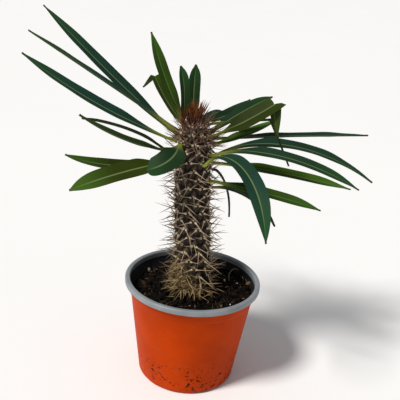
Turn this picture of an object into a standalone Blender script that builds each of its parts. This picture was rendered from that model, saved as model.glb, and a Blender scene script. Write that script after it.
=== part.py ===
"""Young Madagascar palm in a round plastic nursery pot, as named solids.

The pot stands on z = 0 with its axis on the Z axis. The front is -Y and +X is on the right.
Lengths are in millimetres and angles in degrees; they become metres and radians in the meshes.
"""
import math
import random
from collections import namedtuple

import bpy
import numpy as np

MM = 0.001
GAP = 0.3

# Pot: thin formed plastic with a rolled rim, a stacking step, a raised floor and eight lugs
POT_HEIGHT = 82.0
RIM_RADIUS = 52.5
RIM_DEPTH = 4.2
RIM_ROUND = 0.9
RIM_INNER_RADIUS = 48.6
WALL = 1.1
WALL_TOP_RADIUS = 50.0
STEP_HEIGHT = 69.0
STEP_OUT = 0.7
STEP_SLOPE = 1.2
BASE_RADIUS = 38.4
BASE_CORNER = 4.0
BASE_ROUND = 3.0
FOOT_HEIGHT = 3.5
FOOT_WIDTH = 3.0
FOOT_DRAFT = 1.5
LUGS = 8
LUG_HEIGHT = 2.0
POT_SIDES = 48
DRAIN_HOLES = 6
DRAIN_RADIUS = 4.0
DRAIN_CIRCLE = 22.0
DRAIN_SIDES = 10

# Soil: loose peat below the rim, heaped on the right
SOIL_LEVEL = 69.0
SOIL_HEAP = 3.5
HEAP_START = 5.0
HEAP_END = 42.0
SOIL_ROUGHNESS = 1.1
SOIL_SIDES = 40
SOIL_RINGS = (41.0, 34.0, 27.0, 20.5)
SOIL_GAP = 0.45
# Waves of the uneven top: share of the roughness, turn per millimetre of x and of y, start
SOIL_WAVES = ((0.7, 0.31, 0.27, 1.7), (0.7, 0.63, -0.52, 2.0), (0.5, -0.29, 0.38, 0.4),
              (0.4, 0.95, 0.88, 1.6))

# Stem: a leaning column under a net of tubercles, on a plain root in the soil
ROOT_BOTTOM = 42.0
ROOT_TOP = 62.0
STEM_FOOT_X = -1.0
STEM_LEAN = -6.0
LEAN_START = 75.0
LEAN_END = 180.0
STEM_PROFILE = ((62.0, 12.4), (80.0, 12.6), (120.0, 12.0), (160.0, 11.6), (184.0, 11.2),
                (196.0, 9.4), (203.0, 6.0), (207.0, 2.0))
COLUMNS = 8
ROW_RISE = 6.4
SPIRAL = 0.16
TUBERCLE_LIFT = 1.7
TUBERCLE_TALL = 0.62
TUBERCLE_WIDE = 0.27
FULL_LIFT_RADIUS = 9.0

# Spines: a pair on each tubercle and a tuft round the growing tip
SPINE_TILTS = (50.0, 50.0)
SPINE_TURNS = (0.0, 180.0)
SPINE_LENGTHS = (13.5, 13.5)
SPINE_RADIUS = 0.6
SPINE_SINK = 1.5
SPINE_SEAT = 0.25
SPINE_APART = 1.5
SPINE_CLEARANCE = 1.2
SPINE_SAMPLES = (0.15, 0.3, 0.45, 0.6, 0.75, 0.9, 1.0)
SPINE_TRIES = 10
TURN_SPREAD = 50.0
TILT_SPREAD = 18.0
LENGTH_SPREAD = 0.25
TUFT_SPINES = 14
TUFT_LENGTH = 13.0
TUFT_RISES = (45.0, 80.0)
TUFT_TURN_SPREAD = 10.0
TUFT_RADIUS = 1.4
SEED = 7

# Leaves: petiole, then a long blade folded along its midrib
PETIOLE_WIDTH = 2.8
NECK = 5.0
NECK_RING = 2.5
SEAT_GAP = 0.6
BLADE_START = 0.05
BLADE_FULL = 0.38
TAPER_START = 0.6
TIP_WIDTH = 1.3
LEAF_SEGMENTS = 10
FIRST_SEGMENT = 0.1
LINE_STEPS = 60
CREASE_REACH = 10.0
ON_CREASE = 0.01
# Half thickness of the edge, then heights of the half blade, the groove and the keel
PETIOLE_SECTION = (0.65, 0.95, 1.0, 1.1)
BLADE_SECTION = (0.3, 0.4, 0.15, 0.75)

# A leaf stands on the free tubercle nearest to its turn round the stem and its height.
# Its line leaves with the given heading and rise, reaches angle fall at the tip, and swings by sweep.
# Roll turns the blade about its line, fold is the V of the blade, early below 1 bends it near the stem.
# A crease is (place along the leaf, angle that it folds down, slant of the fold line across the blade).
# A higher taper gives a blunter tip.
Leaf = namedtuple(
    "Leaf", "name turn height heading rise fall sweep length width roll fold early crease taper",
    defaults=(0.0, 25.0, 1.0, None, 2.2))

LEAVES = (
    Leaf("leaf_left_1", 137, 190, 155, 22, 38, 5, 149, 11.5, -20, 15, 0.4),
    Leaf("leaf_left_2", 166, 196, 166, 26, 26, 0, 134, 9.0, 10, 20),
    Leaf("leaf_left_3", 182, 190, 188, 20, 38, 0, 122, 13.0, -20, 15, 1.3),
    Leaf("leaf_left_4", 197, 184, 202, 5, 34, -4, 75, 6.0, 50, 20, 0.8),
    Leaf("leaf_left_5", 167, 177, 172, 60, 0, 0, 76, 5.5, 30, 20, 0.4),
    Leaf("leaf_left_6", 183, 171, 190, -3, 24, 0, 79, 12.0, -20, 12, 2.5),
    Leaf("leaf_left_7", 212, 177, 212, -3, -17, -2, 81, 18.0, -20, 10, taper=3.0),
    Leaf("leaf_front_1", 242, 190, 270, -40, -18, -95, 35, 18.0, -28, 10, taper=8.0),
    Leaf("leaf_back_1", 151, 202, 150, 40, 68, 0, 70, 9.5, -30, 15, 0.4),
    Leaf("leaf_back_2", 122, 196, 135, 23, 58, -4, 71, 9.5, 0, 15, 1.0, (0.75, 90, 0)),
    Leaf("leaf_back_3", 196, 202, 140, 100, 66, 0, 43, 8.5, -15, 20, taper=4.0),
    Leaf("leaf_back_4", 106, 202, 100, 60, 100, 0, 43, 9.0, 0, 15, taper=4.0),
    Leaf("leaf_back_5", 76, 196, 75, 19, -25, -10, 74, 9.0, 0, 15),
    Leaf("leaf_back_6", 107, 184, 102, 10, -30, 0, 68, 11.0, 0, 15),
    Leaf("leaf_right_1", 31, 196, 30, 32, 20, 0, 58, 11.0, 15, 15, taper=3.5),
    Leaf("leaf_right_2", 61, 202, 50, -8, 28, 0, 58, 10.0, 15, 15),
    Leaf("leaf_right_3", 346, 196, 351, 27, 43, 4, 71, 15.0, 40, 8, 0.8, (0.7, 145, -30), 1.6),
    Leaf("leaf_right_4", 2, 190, 10, 16, 32, 0, 50, 9.0, 15, 15),
    Leaf("leaf_right_5", 47, 190, 25, 0, -2, 0, 147, 8.0, 10, 20),
    Leaf("leaf_right_6", 32, 177, 17, 56, -33, -6, 144, 12.0, 20, 15, 0.4),
    Leaf("leaf_right_7", 332, 184, 352, 44, -25, -2, 110, 11.0, 20, 15, 0.4),
    Leaf("leaf_right_8", 347, 177, 3, 0, -11, 0, 105, 11.0, 20, 15, 0.5),
    Leaf("leaf_right_9", 302, 177, 318, 105, -68, -30, 100, 14.0, 10, 15, 0.42),
    Leaf("leaf_right_10", 333, 164, 340, -1, -9, 1, 83, 10.5, 20, 15, 1.8),
    Leaf("leaf_right_11", 348, 158, 5, 30, -58, 0, 62, 8.5, 15, 15, 0.5),
    Leaf("leaf_right_12", 16, 202, 0, 10, 5, 0, 83, 3.0, 0, 20, 1.0, (0.55, 68, 0)),
    Leaf("dried_leaf", 3, 171, 25, 5, -88, 0, 46, 2.0, 0, 20, 0.3),
)


def smooth_step(value, low, high):
    """Rise from 0 to 1 between low and high with a soft start and end."""
    t = min(max((value - low) / (high - low), 0.0), 1.0)
    return t * t * (3.0 - 2.0 * t)


def mix(first, second, share):
    """Blend two values."""
    return first + (second - first) * share


def unit(vector):
    """Scale a vector to length 1."""
    return vector / np.linalg.norm(vector)


def aim(heading, rise):
    """Unit vector at a heading round Z and an angle above level, in degrees."""
    h, r = math.radians(heading), math.radians(rise)
    return np.array((math.cos(r) * math.cos(h), math.cos(r) * math.sin(h), math.sin(r)))


def material(name, colour, roughness, coat=0.0):
    """Make a plain Principled material."""
    made = bpy.data.materials.new(name)
    made.use_nodes = True
    shader = made.node_tree.nodes["Principled BSDF"]
    shader.inputs["Base Color"].default_value = (*colour, 1.0)
    shader.inputs["Roughness"].default_value = roughness
    shader.inputs["Metallic"].default_value = 0.0
    shader.inputs["Coat Weight"].default_value = coat
    made.diffuse_color = (*colour, 1.0)
    return made


def to_mesh(name, points, faces):
    """Make a mesh from points in millimetres and faces that point outwards."""
    mesh = bpy.data.meshes.new(name)
    mesh.from_pydata([tuple(float(c) * MM for c in point) for point in points], [], faces)
    return mesh


def add_object(name, points, faces, finish, smooth_angle=45.0):
    """Make a finished sub-part with its material and smooth shading."""
    mesh = to_mesh(name, points, faces)
    mesh.materials.append(finish)
    made = bpy.data.objects.new(name, mesh)
    bpy.context.scene.collection.objects.link(made)
    shade(made, smooth_angle)
    return made


def shade(target, smooth_angle):
    """Shade smooth, with edges over the angle kept sharp."""
    target.data.shade_smooth()
    target.data.set_sharp_from_angle(angle=math.radians(smooth_angle))


def ring_surface(rings, first_pole=None, last_pole=None):
    """Join rings of equal count, closing each end with a pole point or a flat cap."""
    sides = len(rings[0])
    points = [point for ring in rings for point in ring]
    faces = []
    for row in range(len(rings) - 1):
        for side in range(sides):
            a = row * sides + side
            b = row * sides + (side + 1) % sides
            faces.append((a, b, b + sides, a + sides))
    last = (len(rings) - 1) * sides
    if first_pole is None:
        faces.append(tuple(reversed(range(sides))))
    else:
        points.append(first_pole)
        pole = len(points) - 1
        faces += [(pole, (side + 1) % sides, side) for side in range(sides)]
    if last_pole is None:
        faces.append(tuple(range(last, last + sides)))
    else:
        points.append(last_pole)
        pole = len(points) - 1
        faces += [(pole, last + side, last + (side + 1) % sides) for side in range(sides)]
    return points, faces


def circle(radius, height, sides, centre_x=0.0, centre_y=0.0):
    """Points of a level circle, anticlockwise from +X."""
    turns = [2.0 * math.pi * k / sides for k in range(sides)]
    return [(centre_x + radius * math.cos(t), centre_y + radius * math.sin(t), height) for t in turns]


def combine(target, operation, helpers):
    """Cut the helpers from the target or join them to it with one Boolean, and keep the result."""
    group = bpy.data.collections.new(target.name + "_helpers")
    for helper in helpers:
        helper.hide_render = True
        helper.display_type = "WIRE"
        group.objects.link(helper)
    bpy.context.scene.collection.children.link(group)
    modifier = target.modifiers.new(operation.title(), "BOOLEAN")
    modifier.operation = operation
    modifier.operand_type = "COLLECTION"
    modifier.collection = group
    graph = bpy.context.evaluated_depsgraph_get()
    result = bpy.data.meshes.new_from_object(target.evaluated_get(graph))
    target.modifiers.clear()
    target.data = result
    for helper in list(group.objects):
        bpy.data.objects.remove(helper, do_unlink=True)
    bpy.data.collections.remove(group)


def wall_radius(height):
    """Outer radius of the pot's straight wall at a height, below the stacking step."""
    share = (height - BASE_CORNER) / (POT_HEIGHT - BASE_CORNER)
    return mix(BASE_RADIUS, WALL_TOP_RADIUS - STEP_OUT, share)


def pot_profile():
    """Half section of the pot from under the floor, round the outside, to the inner floor."""
    lip_low = POT_HEIGHT - RIM_DEPTH
    corner = [(BASE_RADIUS - BASE_ROUND * (1 - math.sin(math.radians(t))),
               BASE_CORNER * (1 - math.cos(math.radians(t)))) for t in (0, 45, 90)]
    foot_inner = corner[0][0] - FOOT_WIDTH
    under = [(foot_inner - FOOT_DRAFT, FOOT_HEIGHT), (foot_inner, 0.0)]
    step_low = wall_radius(STEP_HEIGHT)
    step_high = step_low + STEP_OUT
    step_top = STEP_HEIGHT + STEP_SLOPE
    wall = [(step_low, STEP_HEIGHT), (step_high, step_top), (WALL_TOP_RADIUS, lip_low)]
    round_low = POT_HEIGHT - RIM_ROUND * 1.5
    round_high = POT_HEIGHT - RIM_ROUND / 3
    rim = [(RIM_RADIUS - RIM_ROUND / 2, lip_low), (RIM_RADIUS, lip_low + RIM_ROUND),
           (RIM_RADIUS, round_low),
           (RIM_RADIUS - RIM_ROUND, round_high), ((RIM_RADIUS + RIM_INNER_RADIUS) / 2, POT_HEIGHT),
           (RIM_INNER_RADIUS + RIM_ROUND, round_high), (RIM_INNER_RADIUS, round_low)]
    inner = [(RIM_INNER_RADIUS, lip_low - RIM_ROUND / 2), (step_high - WALL, step_top),
             (step_low - WALL, STEP_HEIGHT - STEP_SLOPE / 3),
             (wall_radius(FOOT_HEIGHT * 2) - WALL, FOOT_HEIGHT * 2),
             (pot_floor_radius(), FOOT_HEIGHT + WALL)]
    return under + corner + wall + rim + inner


def pot_floor_radius():
    """Radius of the pot's flat inner floor."""
    return BASE_RADIUS - WALL - FOOT_WIDTH


def lug_lift(side, height):
    """Raise the foot ring between the lugs, which stay on the ground."""
    pitch = POT_SIDES // LUGS
    on_lug = side % pitch < 2
    return height if on_lug or height >= BASE_CORNER else mix(LUG_HEIGHT, height, height / BASE_CORNER)


def make_pot(finish):
    """Turn the pot with its lugs and cut the drain holes in its floor."""
    rings = []
    foot_rings = range(1, 5)
    for place, (radius, height) in enumerate(pot_profile()):
        ring = circle(radius, height, POT_SIDES)
        if place in foot_rings:
            ring = [(x, y, lug_lift(side, z)) for side, (x, y, z) in enumerate(ring)]
        rings.append(ring)
    points, faces = ring_surface(rings, (0.0, 0.0, FOOT_HEIGHT), (0.0, 0.0, FOOT_HEIGHT + WALL))
    pot = add_object("pot", points, faces, finish)
    drains = []
    for k in range(DRAIN_HOLES):
        turn = 2.0 * math.pi * k / DRAIN_HOLES
        x, y = DRAIN_CIRCLE * math.cos(turn), DRAIN_CIRCLE * math.sin(turn)
        ends = [circle(DRAIN_RADIUS, z, DRAIN_SIDES, x, y)
                for z in (FOOT_HEIGHT - WALL, FOOT_HEIGHT + WALL * 2)]
        drains.append(bpy.data.objects.new("drain", to_mesh("drain", *ring_surface(ends))))
    combine(pot, "DIFFERENCE", drains)
    shade(pot, 45.0)


def soil_height(x, y):
    """Height of the loose soil: uneven crumbs, heaped on the right."""
    heap = SOIL_HEAP * smooth_step(x, HEAP_START, HEAP_END)
    crumbs = sum(share * math.sin(across * x + along * y + start)
                 for share, across, along, start in SOIL_WAVES)
    return SOIL_LEVEL + heap + SOIL_ROUGHNESS * crumbs


def soil_ring(radius, centre_x=0.0):
    """A ring of points on the soil's uneven top."""
    return [(x, y, soil_height(x, y)) for x, y, _ in circle(radius, 0.0, SOIL_SIDES, centre_x)]


def make_soil(finish):
    """Peat that fills the pot, with a plain hole for the root."""
    low = FOOT_HEIGHT + WALL + GAP
    bend = FOOT_HEIGHT * 2
    lowest_top = SOIL_LEVEL - SOIL_ROUGHNESS * sum(wave[0] for wave in SOIL_WAVES)
    rings = [circle(pot_floor_radius() - SOIL_GAP, low, SOIL_SIDES),
             circle(wall_radius(bend) - WALL - SOIL_GAP, bend + GAP, SOIL_SIDES),
             soil_ring(wall_radius(lowest_top) - WALL - SOIL_GAP)]
    rings += [soil_ring(radius) for radius in SOIL_RINGS]
    hole = stem_radius(SOIL_LEVEL) + TUBERCLE_LIFT + GAP * 2
    rings += [soil_ring(hole, STEM_FOOT_X), circle(hole, ROOT_BOTTOM - GAP, SOIL_SIDES, STEM_FOOT_X)]
    add_object("soil", *ring_surface(rings, (0.0, 0.0, low), (STEM_FOOT_X, 0.0, ROOT_BOTTOM - GAP)), finish)


def skin_profile():
    """Heights and radii of the stem against the distance up its skin."""
    distance = [0.0]
    for (low, wide), (high, narrow) in zip(STEM_PROFILE, STEM_PROFILE[1:]):
        distance.append(distance[-1] + math.hypot(high - low, narrow - wide))
    heights, radii = zip(*STEM_PROFILE)
    return distance, heights, radii


def stem_radius(height):
    """Radius of the stem between its tubercles."""
    heights, radii = zip(*STEM_PROFILE)
    return float(np.interp(height, heights, radii))


def stem_centre(height):
    """The stem's axis: upright in the soil, then leaning to the left."""
    return np.array((STEM_FOOT_X + STEM_LEAN * smooth_step(height, LEAN_START, LEAN_END), 0.0, height))


def skin_point(row, column, raised=0.0):
    """A point of the stem's skin by row and column of the net, raised by a share of the lift."""
    distance, heights, radii = skin_profile()
    up = (row + 1) * ROW_RISE
    height = float(np.interp(up, distance, heights))
    radius = float(np.interp(up, distance, radii))
    lift = raised * TUBERCLE_LIFT * min(1.0, radius / FULL_LIFT_RADIUS)
    out = aim(360.0 * (column + SPIRAL * row) / COLUMNS, 0.0)
    return stem_centre(height) + out * (radius + lift)


def tubercle_rows():
    """Number of whole rows of tubercles up to the growing tip."""
    return int(skin_profile()[0][-1] / ROW_RISE) - 1


def tubercles():
    """Row and column of the middle of each tubercle, from the soil to the tip."""
    return [(row, column + 0.5 + 0.5 * (row % 2))
            for row in range(tubercle_rows()) for column in range(COLUMNS)]


def tubercle_corners(row, column):
    """The four corners of a tubercle's raised face: right, top, left, bottom."""
    return [skin_point(row, column + TUBERCLE_WIDE, 1.0), skin_point(row + TUBERCLE_TALL, column, 1.0),
            skin_point(row, column - TUBERCLE_WIDE, 1.0), skin_point(row - TUBERCLE_TALL, column, 1.0)]


def tubercle_seat(row, column):
    """Middle and outward direction of a tubercle's raised face."""
    right, top, left, bottom = tubercle_corners(row, column)
    return (right + top + left + bottom) / 4, unit(np.cross(right - left, top - bottom))


def stem_surface():
    """Points and faces of the bare stem: root, net of tubercles and growing tip."""
    places = {}
    points = []

    def corner(row, column):
        """Index of a low corner of the net, made on first use."""
        key = (row, round(2 * column) % (2 * COLUMNS))
        if key not in places:
            places[key] = len(points)
            points.append(skin_point(row, column))
        return places[key]

    faces = []
    for row, column in tubercles():
        low = [corner(row, column + 0.5), corner(row + 1, column),
               corner(row, column - 0.5), corner(row - 1, column)]
        first = len(points)
        points.extend(tubercle_corners(row, column))
        high = [first + k for k in range(4)]
        faces.append(tuple(high))
        for k in range(4):
            n = (k + 1) % 4
            faces.append((low[k], low[n], high[n], high[k]))
    rows = tubercle_rows()
    foot = [corner(-(side % 2), side / 2) for side in range(2 * COLUMNS)]
    root = len(points)
    points.extend(circle(stem_radius(ROOT_TOP), ROOT_BOTTOM, 2 * COLUMNS, STEM_FOOT_X))
    sides = 2 * COLUMNS
    for side in range(sides):
        n = (side + 1) % sides
        faces.append((root + side, root + n, foot[n], foot[side]))
    faces.append(tuple(reversed(range(root, root + sides))))
    start = (rows - 1) % 2
    top = [corner(rows - 1 + (side + start) % 2, side / 2) for side in range(sides)]
    tip = len(points)
    points.append(stem_centre(STEM_PROFILE[-1][0]))
    faces += [(tip, top[side], top[(side + 1) % sides]) for side in range(sides)]
    return points, faces


def nearest_tubercle(turn, height, taken):
    """The free tubercle nearest to a turn round the stem, in degrees, and a height."""
    goal = stem_centre(height) + aim(turn, 0.0) * stem_radius(height)

    def distance(place):
        return np.linalg.norm(tubercle_seat(*place)[0] - goal)

    found = min((place for place in tubercles() if place not in taken), key=distance)
    taken.append(found)
    return found


def leaf_line(leaf, seat, outward):
    """Points, directions and side directions along the middle of a leaf."""
    step = leaf.length / LINE_STEPS
    points, ways, sides = [seat + outward * SEAT_GAP], [], []
    for k in range(LINE_STEPS + 1):
        share = k / LINE_STEPS
        rise = mix(leaf.rise, leaf.fall, share ** leaf.early)
        heading = leaf.heading + leaf.sweep * share
        free = smooth_step(share * leaf.length, 0.0, NECK)
        way = unit(mix(outward, aim(heading, rise), free))
        level = aim(heading + 90.0, 0.0)
        side = unit(level - way * np.dot(level, way))
        ways.append(way)
        sides.append(side)
        points.append(points[-1] + way * step)
    points.pop()
    if leaf.crease:
        fold_over(leaf, round(leaf.crease[0] * LINE_STEPS), points, ways, sides)
    return points, ways, sides


def fold_over(leaf, first, points, ways, sides):
    """Turn the line beyond a crease about the fold line, which slants across the blade."""
    place, angle, slant = leaf.crease
    hinge = points[first]
    tilt = math.radians(slant)
    across = blade_frame(leaf, place, ways[first], sides[first])[0]
    axis = across * math.cos(tilt) + ways[first] * math.sin(tilt)
    for k in range(first + 1, len(points)):
        points[k] = hinge + turned(points[k] - hinge, axis, angle)
        ways[k] = turned(ways[k], axis, angle)
        sides[k] = turned(sides[k], axis, angle)


def turned(vector, axis, angle):
    """A vector turned about an axis by an angle in degrees."""
    t = math.radians(angle)
    along = axis * np.dot(axis, vector) * (1.0 - math.cos(t))
    return vector * math.cos(t) + np.cross(axis, vector) * math.sin(t) + along


def blade_frame(leaf, share, way, side):
    """Across and upward directions of a leaf with its roll."""
    roll = math.radians(leaf.roll * blade_share(share))
    up = np.cross(way, side)
    return side * math.cos(roll) + up * math.sin(roll), up * math.cos(roll) - side * math.sin(roll)


def crease_shift(leaf, share, across, up):
    """How far a point near a crease moves along the leaf, so that both parts meet in the fold line."""
    if not leaf.crease:
        return 0.0
    place, angle, slant = leaf.crease
    gap = (share - place) * leaf.length
    near = max(0.0, 1.0 - abs(gap) / CREASE_REACH)
    tilt = math.radians(slant)
    bend = math.tan(math.radians(angle / 2)) / math.cos(tilt) * (1 if gap < ON_CREASE else -1)
    return near * (across * math.tan(tilt) + up * bend)


def blade_share(share):
    """How far a leaf has turned from petiole to blade, 0 to 1."""
    return smooth_step(share, BLADE_START, BLADE_FULL)


def leaf_width(leaf, share):
    """Width of a leaf at a share of its length."""
    width = mix(PETIOLE_WIDTH, leaf.width, blade_share(share))
    if share > TAPER_START:
        width *= 1.0 - ((share - TAPER_START) / (1.0 - TAPER_START)) ** leaf.taper
    return max(width, TIP_WIDTH)


def leaf_section(leaf, share):
    """Section of a leaf as (side, up) points, anticlockwise seen from its tip."""
    blade = blade_share(share)
    half = leaf_width(leaf, share) / 2
    fold = math.radians(leaf.fold * blade)
    reach, rise = half * math.cos(fold), half * math.sin(fold)
    edge, middle, groove, keel = [mix(low, high, blade) for low, high in zip(PETIOLE_SECTION, BLADE_SECTION)]
    return [(reach, rise - edge), (reach, rise + edge), (reach / 2, rise / 2 + middle), (0.0, groove),
            (-reach / 2, rise / 2 + middle), (-reach, rise + edge), (-reach, rise - edge), (0.0, -keel)]


def leaf_shares(leaf):
    """Places along a leaf that get a ring: close at the neck and on both sides of a crease."""
    shares = [0.0, NECK_RING / leaf.length, NECK / leaf.length]
    shares += [mix(FIRST_SEGMENT, 1.0, k / LEAF_SEGMENTS) for k in range(LEAF_SEGMENTS + 1)]
    if leaf.crease:
        place, reach = leaf.crease[0], CREASE_REACH / leaf.length
        shares = [share for share in shares if abs(share - place) > reach + FIRST_SEGMENT / 4]
        shares += [place - reach, place, place + reach]
    return sorted(shares)


def leaf_surface(leaf, seat, outward):
    """Points and faces of a leaf whose first ring lies flat on its tubercle."""
    points, ways, sides = leaf_line(leaf, seat, outward)
    rings = []
    for share in leaf_shares(leaf):
        place = round(share * LINE_STEPS)
        across, upward = blade_frame(leaf, share, ways[place], sides[place])
        rings.append([points[place] + across * u + upward * v + ways[place] * crease_shift(leaf, share, u, v)
                      for u, v in leaf_section(leaf, share)])
    return ring_surface(rings)


def make_leaf(leaf, finish, taken):
    """Seat one leaf on its tubercle and give back the line that spines keep clear of."""
    seat, outward = tubercle_seat(*nearest_tubercle(leaf.turn, leaf.height, taken))
    add_object(leaf.name, *leaf_surface(leaf, seat, outward), finish)
    points = leaf_line(leaf, seat, outward)[0]
    return [(point, leaf_width(leaf, k / LINE_STEPS) / 2) for k, point in enumerate(points)]


def spine_surface(root, way, length):
    """A three-sided needle that starts inside the stem."""
    level = unit(np.cross(way, (0.3, 0.2, 1.0)))
    other = np.cross(way, level)
    foot = root - way * SPINE_SINK
    ring = [foot + (level * math.cos(t) + other * math.sin(t)) * SPINE_RADIUS
            for t in (0.0, 2.0 * math.pi / 3, 4.0 * math.pi / 3)]
    faces = [(0, 1, 3), (1, 2, 3), (2, 0, 3), (2, 1, 0)]
    return ring + [root + way * length], faces


def spine_is_clear(root, way, length, lines):
    """Whether a spine stays off every leaf and above the soil."""
    samples = np.array([root + way * length * share for share in SPINE_SAMPLES])
    if any(z < soil_height(x, y) + SPINE_CLEARANCE for x, y, z in samples):
        return False
    near = np.linalg.norm(lines[0][None, :, :] - samples[:, None, :], axis=2)
    return bool(np.all(near > lines[1][None, :] + SPINE_CLEARANCE))


def spine_set(draw, lines):
    """Root, way and length of every spine, each turned until it stands clear."""
    found = []
    for row, column in tubercles():
        seat, outward = tubercle_seat(row, column)
        top = mix(seat, tubercle_corners(row, column)[1], SPINE_SEAT)
        side = unit(np.cross((0.0, 0.0, 1.0), outward))
        up = np.cross(outward, side)
        for tilt, turn, length in zip(SPINE_TILTS, SPINE_TURNS, SPINE_LENGTHS):
            for _ in range(SPINE_TRIES):
                t = math.radians(turn + draw.uniform(-TURN_SPREAD, TURN_SPREAD))
                b = math.radians(tilt + draw.uniform(-TILT_SPREAD, TILT_SPREAD))
                size = length * (1.0 + draw.uniform(-LENGTH_SPREAD, LENGTH_SPREAD))
                apart = side * math.cos(math.radians(turn)) + up * math.sin(math.radians(turn))
                root = top + apart * SPINE_APART
                way = unit(outward * math.cos(b) + (side * math.cos(t) + up * math.sin(t)) * math.sin(b))
                if spine_is_clear(root, way, size, lines):
                    found.append((root, way, size))
                    break
    tip = stem_centre(STEM_PROFILE[-1][0])
    for k in range(TUFT_SPINES):
        turn = 360.0 * k / TUFT_SPINES + draw.uniform(-TUFT_TURN_SPREAD, TUFT_TURN_SPREAD)
        way = aim(turn, draw.uniform(*TUFT_RISES))
        root = tip + aim(turn, 0.0) * TUFT_RADIUS
        size = TUFT_LENGTH * (1.0 + draw.uniform(-LENGTH_SPREAD, LENGTH_SPREAD))
        if spine_is_clear(root, way, size, lines):
            found.append((root, way, size))
    return found


def make_stem(finish, lines):
    """Join the spines to the stem as one body."""
    stem = add_object("stem", *stem_surface(), finish)
    draw = random.Random(SEED)
    spines = [bpy.data.objects.new("spine", to_mesh("spine", *spine_surface(*spine)))
              for spine in spine_set(draw, lines)]
    combine(stem, "UNION", spines)
    shade(stem, 35.0)


def main():
    """Clear the scene and model the palm and its pot."""
    for old in list(bpy.data.objects):
        bpy.data.objects.remove(old, do_unlink=True)
    make_pot(material("orange_plastic", (0.60, 0.075, 0.010), 0.35))
    make_soil(material("peat", (0.020, 0.014, 0.010), 0.95))
    green = material("leaf_green", (0.035, 0.085, 0.012), 0.35, 0.3)
    dead = material("dried_leaf", (0.030, 0.022, 0.016), 0.7)
    taken = []
    lines = []
    for leaf in LEAVES:
        lines += make_leaf(leaf, dead if leaf.name == "dried_leaf" else green, taken)
    centres = np.array([point for point, _ in lines])
    halves = np.array([half for _, half in lines])
    make_stem(material("bark", (0.060, 0.045, 0.032), 0.8), (centres, halves))


main()
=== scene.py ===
"""Looks of a young Madagascar palm in its nursery pot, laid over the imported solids.

Lengths are millimetres unless a unit says otherwise; meshes and shader places are in metres.
"""
import math
import random
from collections import namedtuple

import bpy
import numpy as np
from bpy.props import FloatProperty, FloatVectorProperty, IntProperty, PointerProperty
from mathutils import Matrix, Vector


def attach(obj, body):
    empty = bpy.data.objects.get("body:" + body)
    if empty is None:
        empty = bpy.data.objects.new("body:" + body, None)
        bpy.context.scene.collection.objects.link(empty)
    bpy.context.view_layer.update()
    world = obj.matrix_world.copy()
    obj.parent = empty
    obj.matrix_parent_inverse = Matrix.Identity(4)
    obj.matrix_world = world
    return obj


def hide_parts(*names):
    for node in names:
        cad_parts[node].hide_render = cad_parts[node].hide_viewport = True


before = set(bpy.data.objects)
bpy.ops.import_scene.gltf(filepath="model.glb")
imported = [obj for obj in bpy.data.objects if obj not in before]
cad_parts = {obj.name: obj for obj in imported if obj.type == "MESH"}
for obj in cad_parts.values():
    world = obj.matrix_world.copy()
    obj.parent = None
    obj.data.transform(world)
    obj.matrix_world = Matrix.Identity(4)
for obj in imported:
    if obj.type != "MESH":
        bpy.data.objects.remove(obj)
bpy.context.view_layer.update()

bl_info = {
    "name": "Potted Madagascar palm",
    "version": (1, 0, 0),
    "blender": (4, 5, 0),
    "location": "View3D > Sidebar > Palm",
    "description": "Builds a young Madagascar palm in a plastic nursery pot with procedural materials",
    "category": "Add Mesh",
}

MM = 0.001

# Pot
POT_HEIGHT = 82.0
RIM_RADIUS = 52.5
RIM_DEPTH = 4.2
RIM_INNER_RADIUS = 48.6
WALL = 1.1
WALL_TOP_RADIUS = 50.0
STEP_HEIGHT = 69.0
STEP_OUT = 0.7
STEP_SLOPE = 1.2
DENT = 0.12
BASE_RADIUS = 38.4
BASE_CORNER = 4.0
BASE_ROUND = 3.0
FOOT_HEIGHT = 3.5
FOOT_WIDTH = 3.0
FOOT_DRAFT = 1.5
LUGS = 8
LUG_HEIGHT = 2.0
DRAIN_HOLES = 6
DRAIN_RADIUS = 4.0
DRAIN_CIRCLE = 22.0
DRAIN_SIDES = 32

# Soil: each wave is (height, radians per millimetre across and along, start)
SOIL_LEVEL = 69.0
SOIL_HEAP = 3.5
HEAP_START = 5.0
HEAP_END = 42.0
SOIL_ROUGHNESS = 1.1
SOIL_GAP = 0.45
SOIL_WAVES = ((0.7, 0.31, 0.27, 1.7), (0.7, 0.63, -0.52, 2.0), (0.5, -0.29, 0.38, 0.4),
              (0.4, 0.95, 0.88, 1.6))
BED_SIDES = 160
BED_RINGS = 60

# Stem, with its profile as (height, radius)
ROOT_BOTTOM = 42.0
ROOT_TOP = 62.0
STEM_FOOT_X = -1.0
STEM_LEAN = -6.0
LEAN_START = 75.0
LEAN_END = 180.0
STEM_PROFILE = ((62.0, 12.4), (80.0, 12.6), (120.0, 12.0), (160.0, 11.6), (184.0, 11.2),
                (196.0, 9.4), (203.0, 6.0), (207.0, 2.0))
COLUMNS = 8
ROW_RISE = 6.4
SPIRAL = 0.16
TUBERCLE_LIFT = 1.7
TUBERCLE_TALL = 0.62
TUBERCLE_WIDE = 0.27
FULL_LIFT_RADIUS = 9.0
FACE_FLAT = 0.42
FACE_END = 0.98
CUSHION_PLACE = 0.62
CUSHION_WIDTH = 0.3
MOST_LIFT = 1.15

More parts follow.
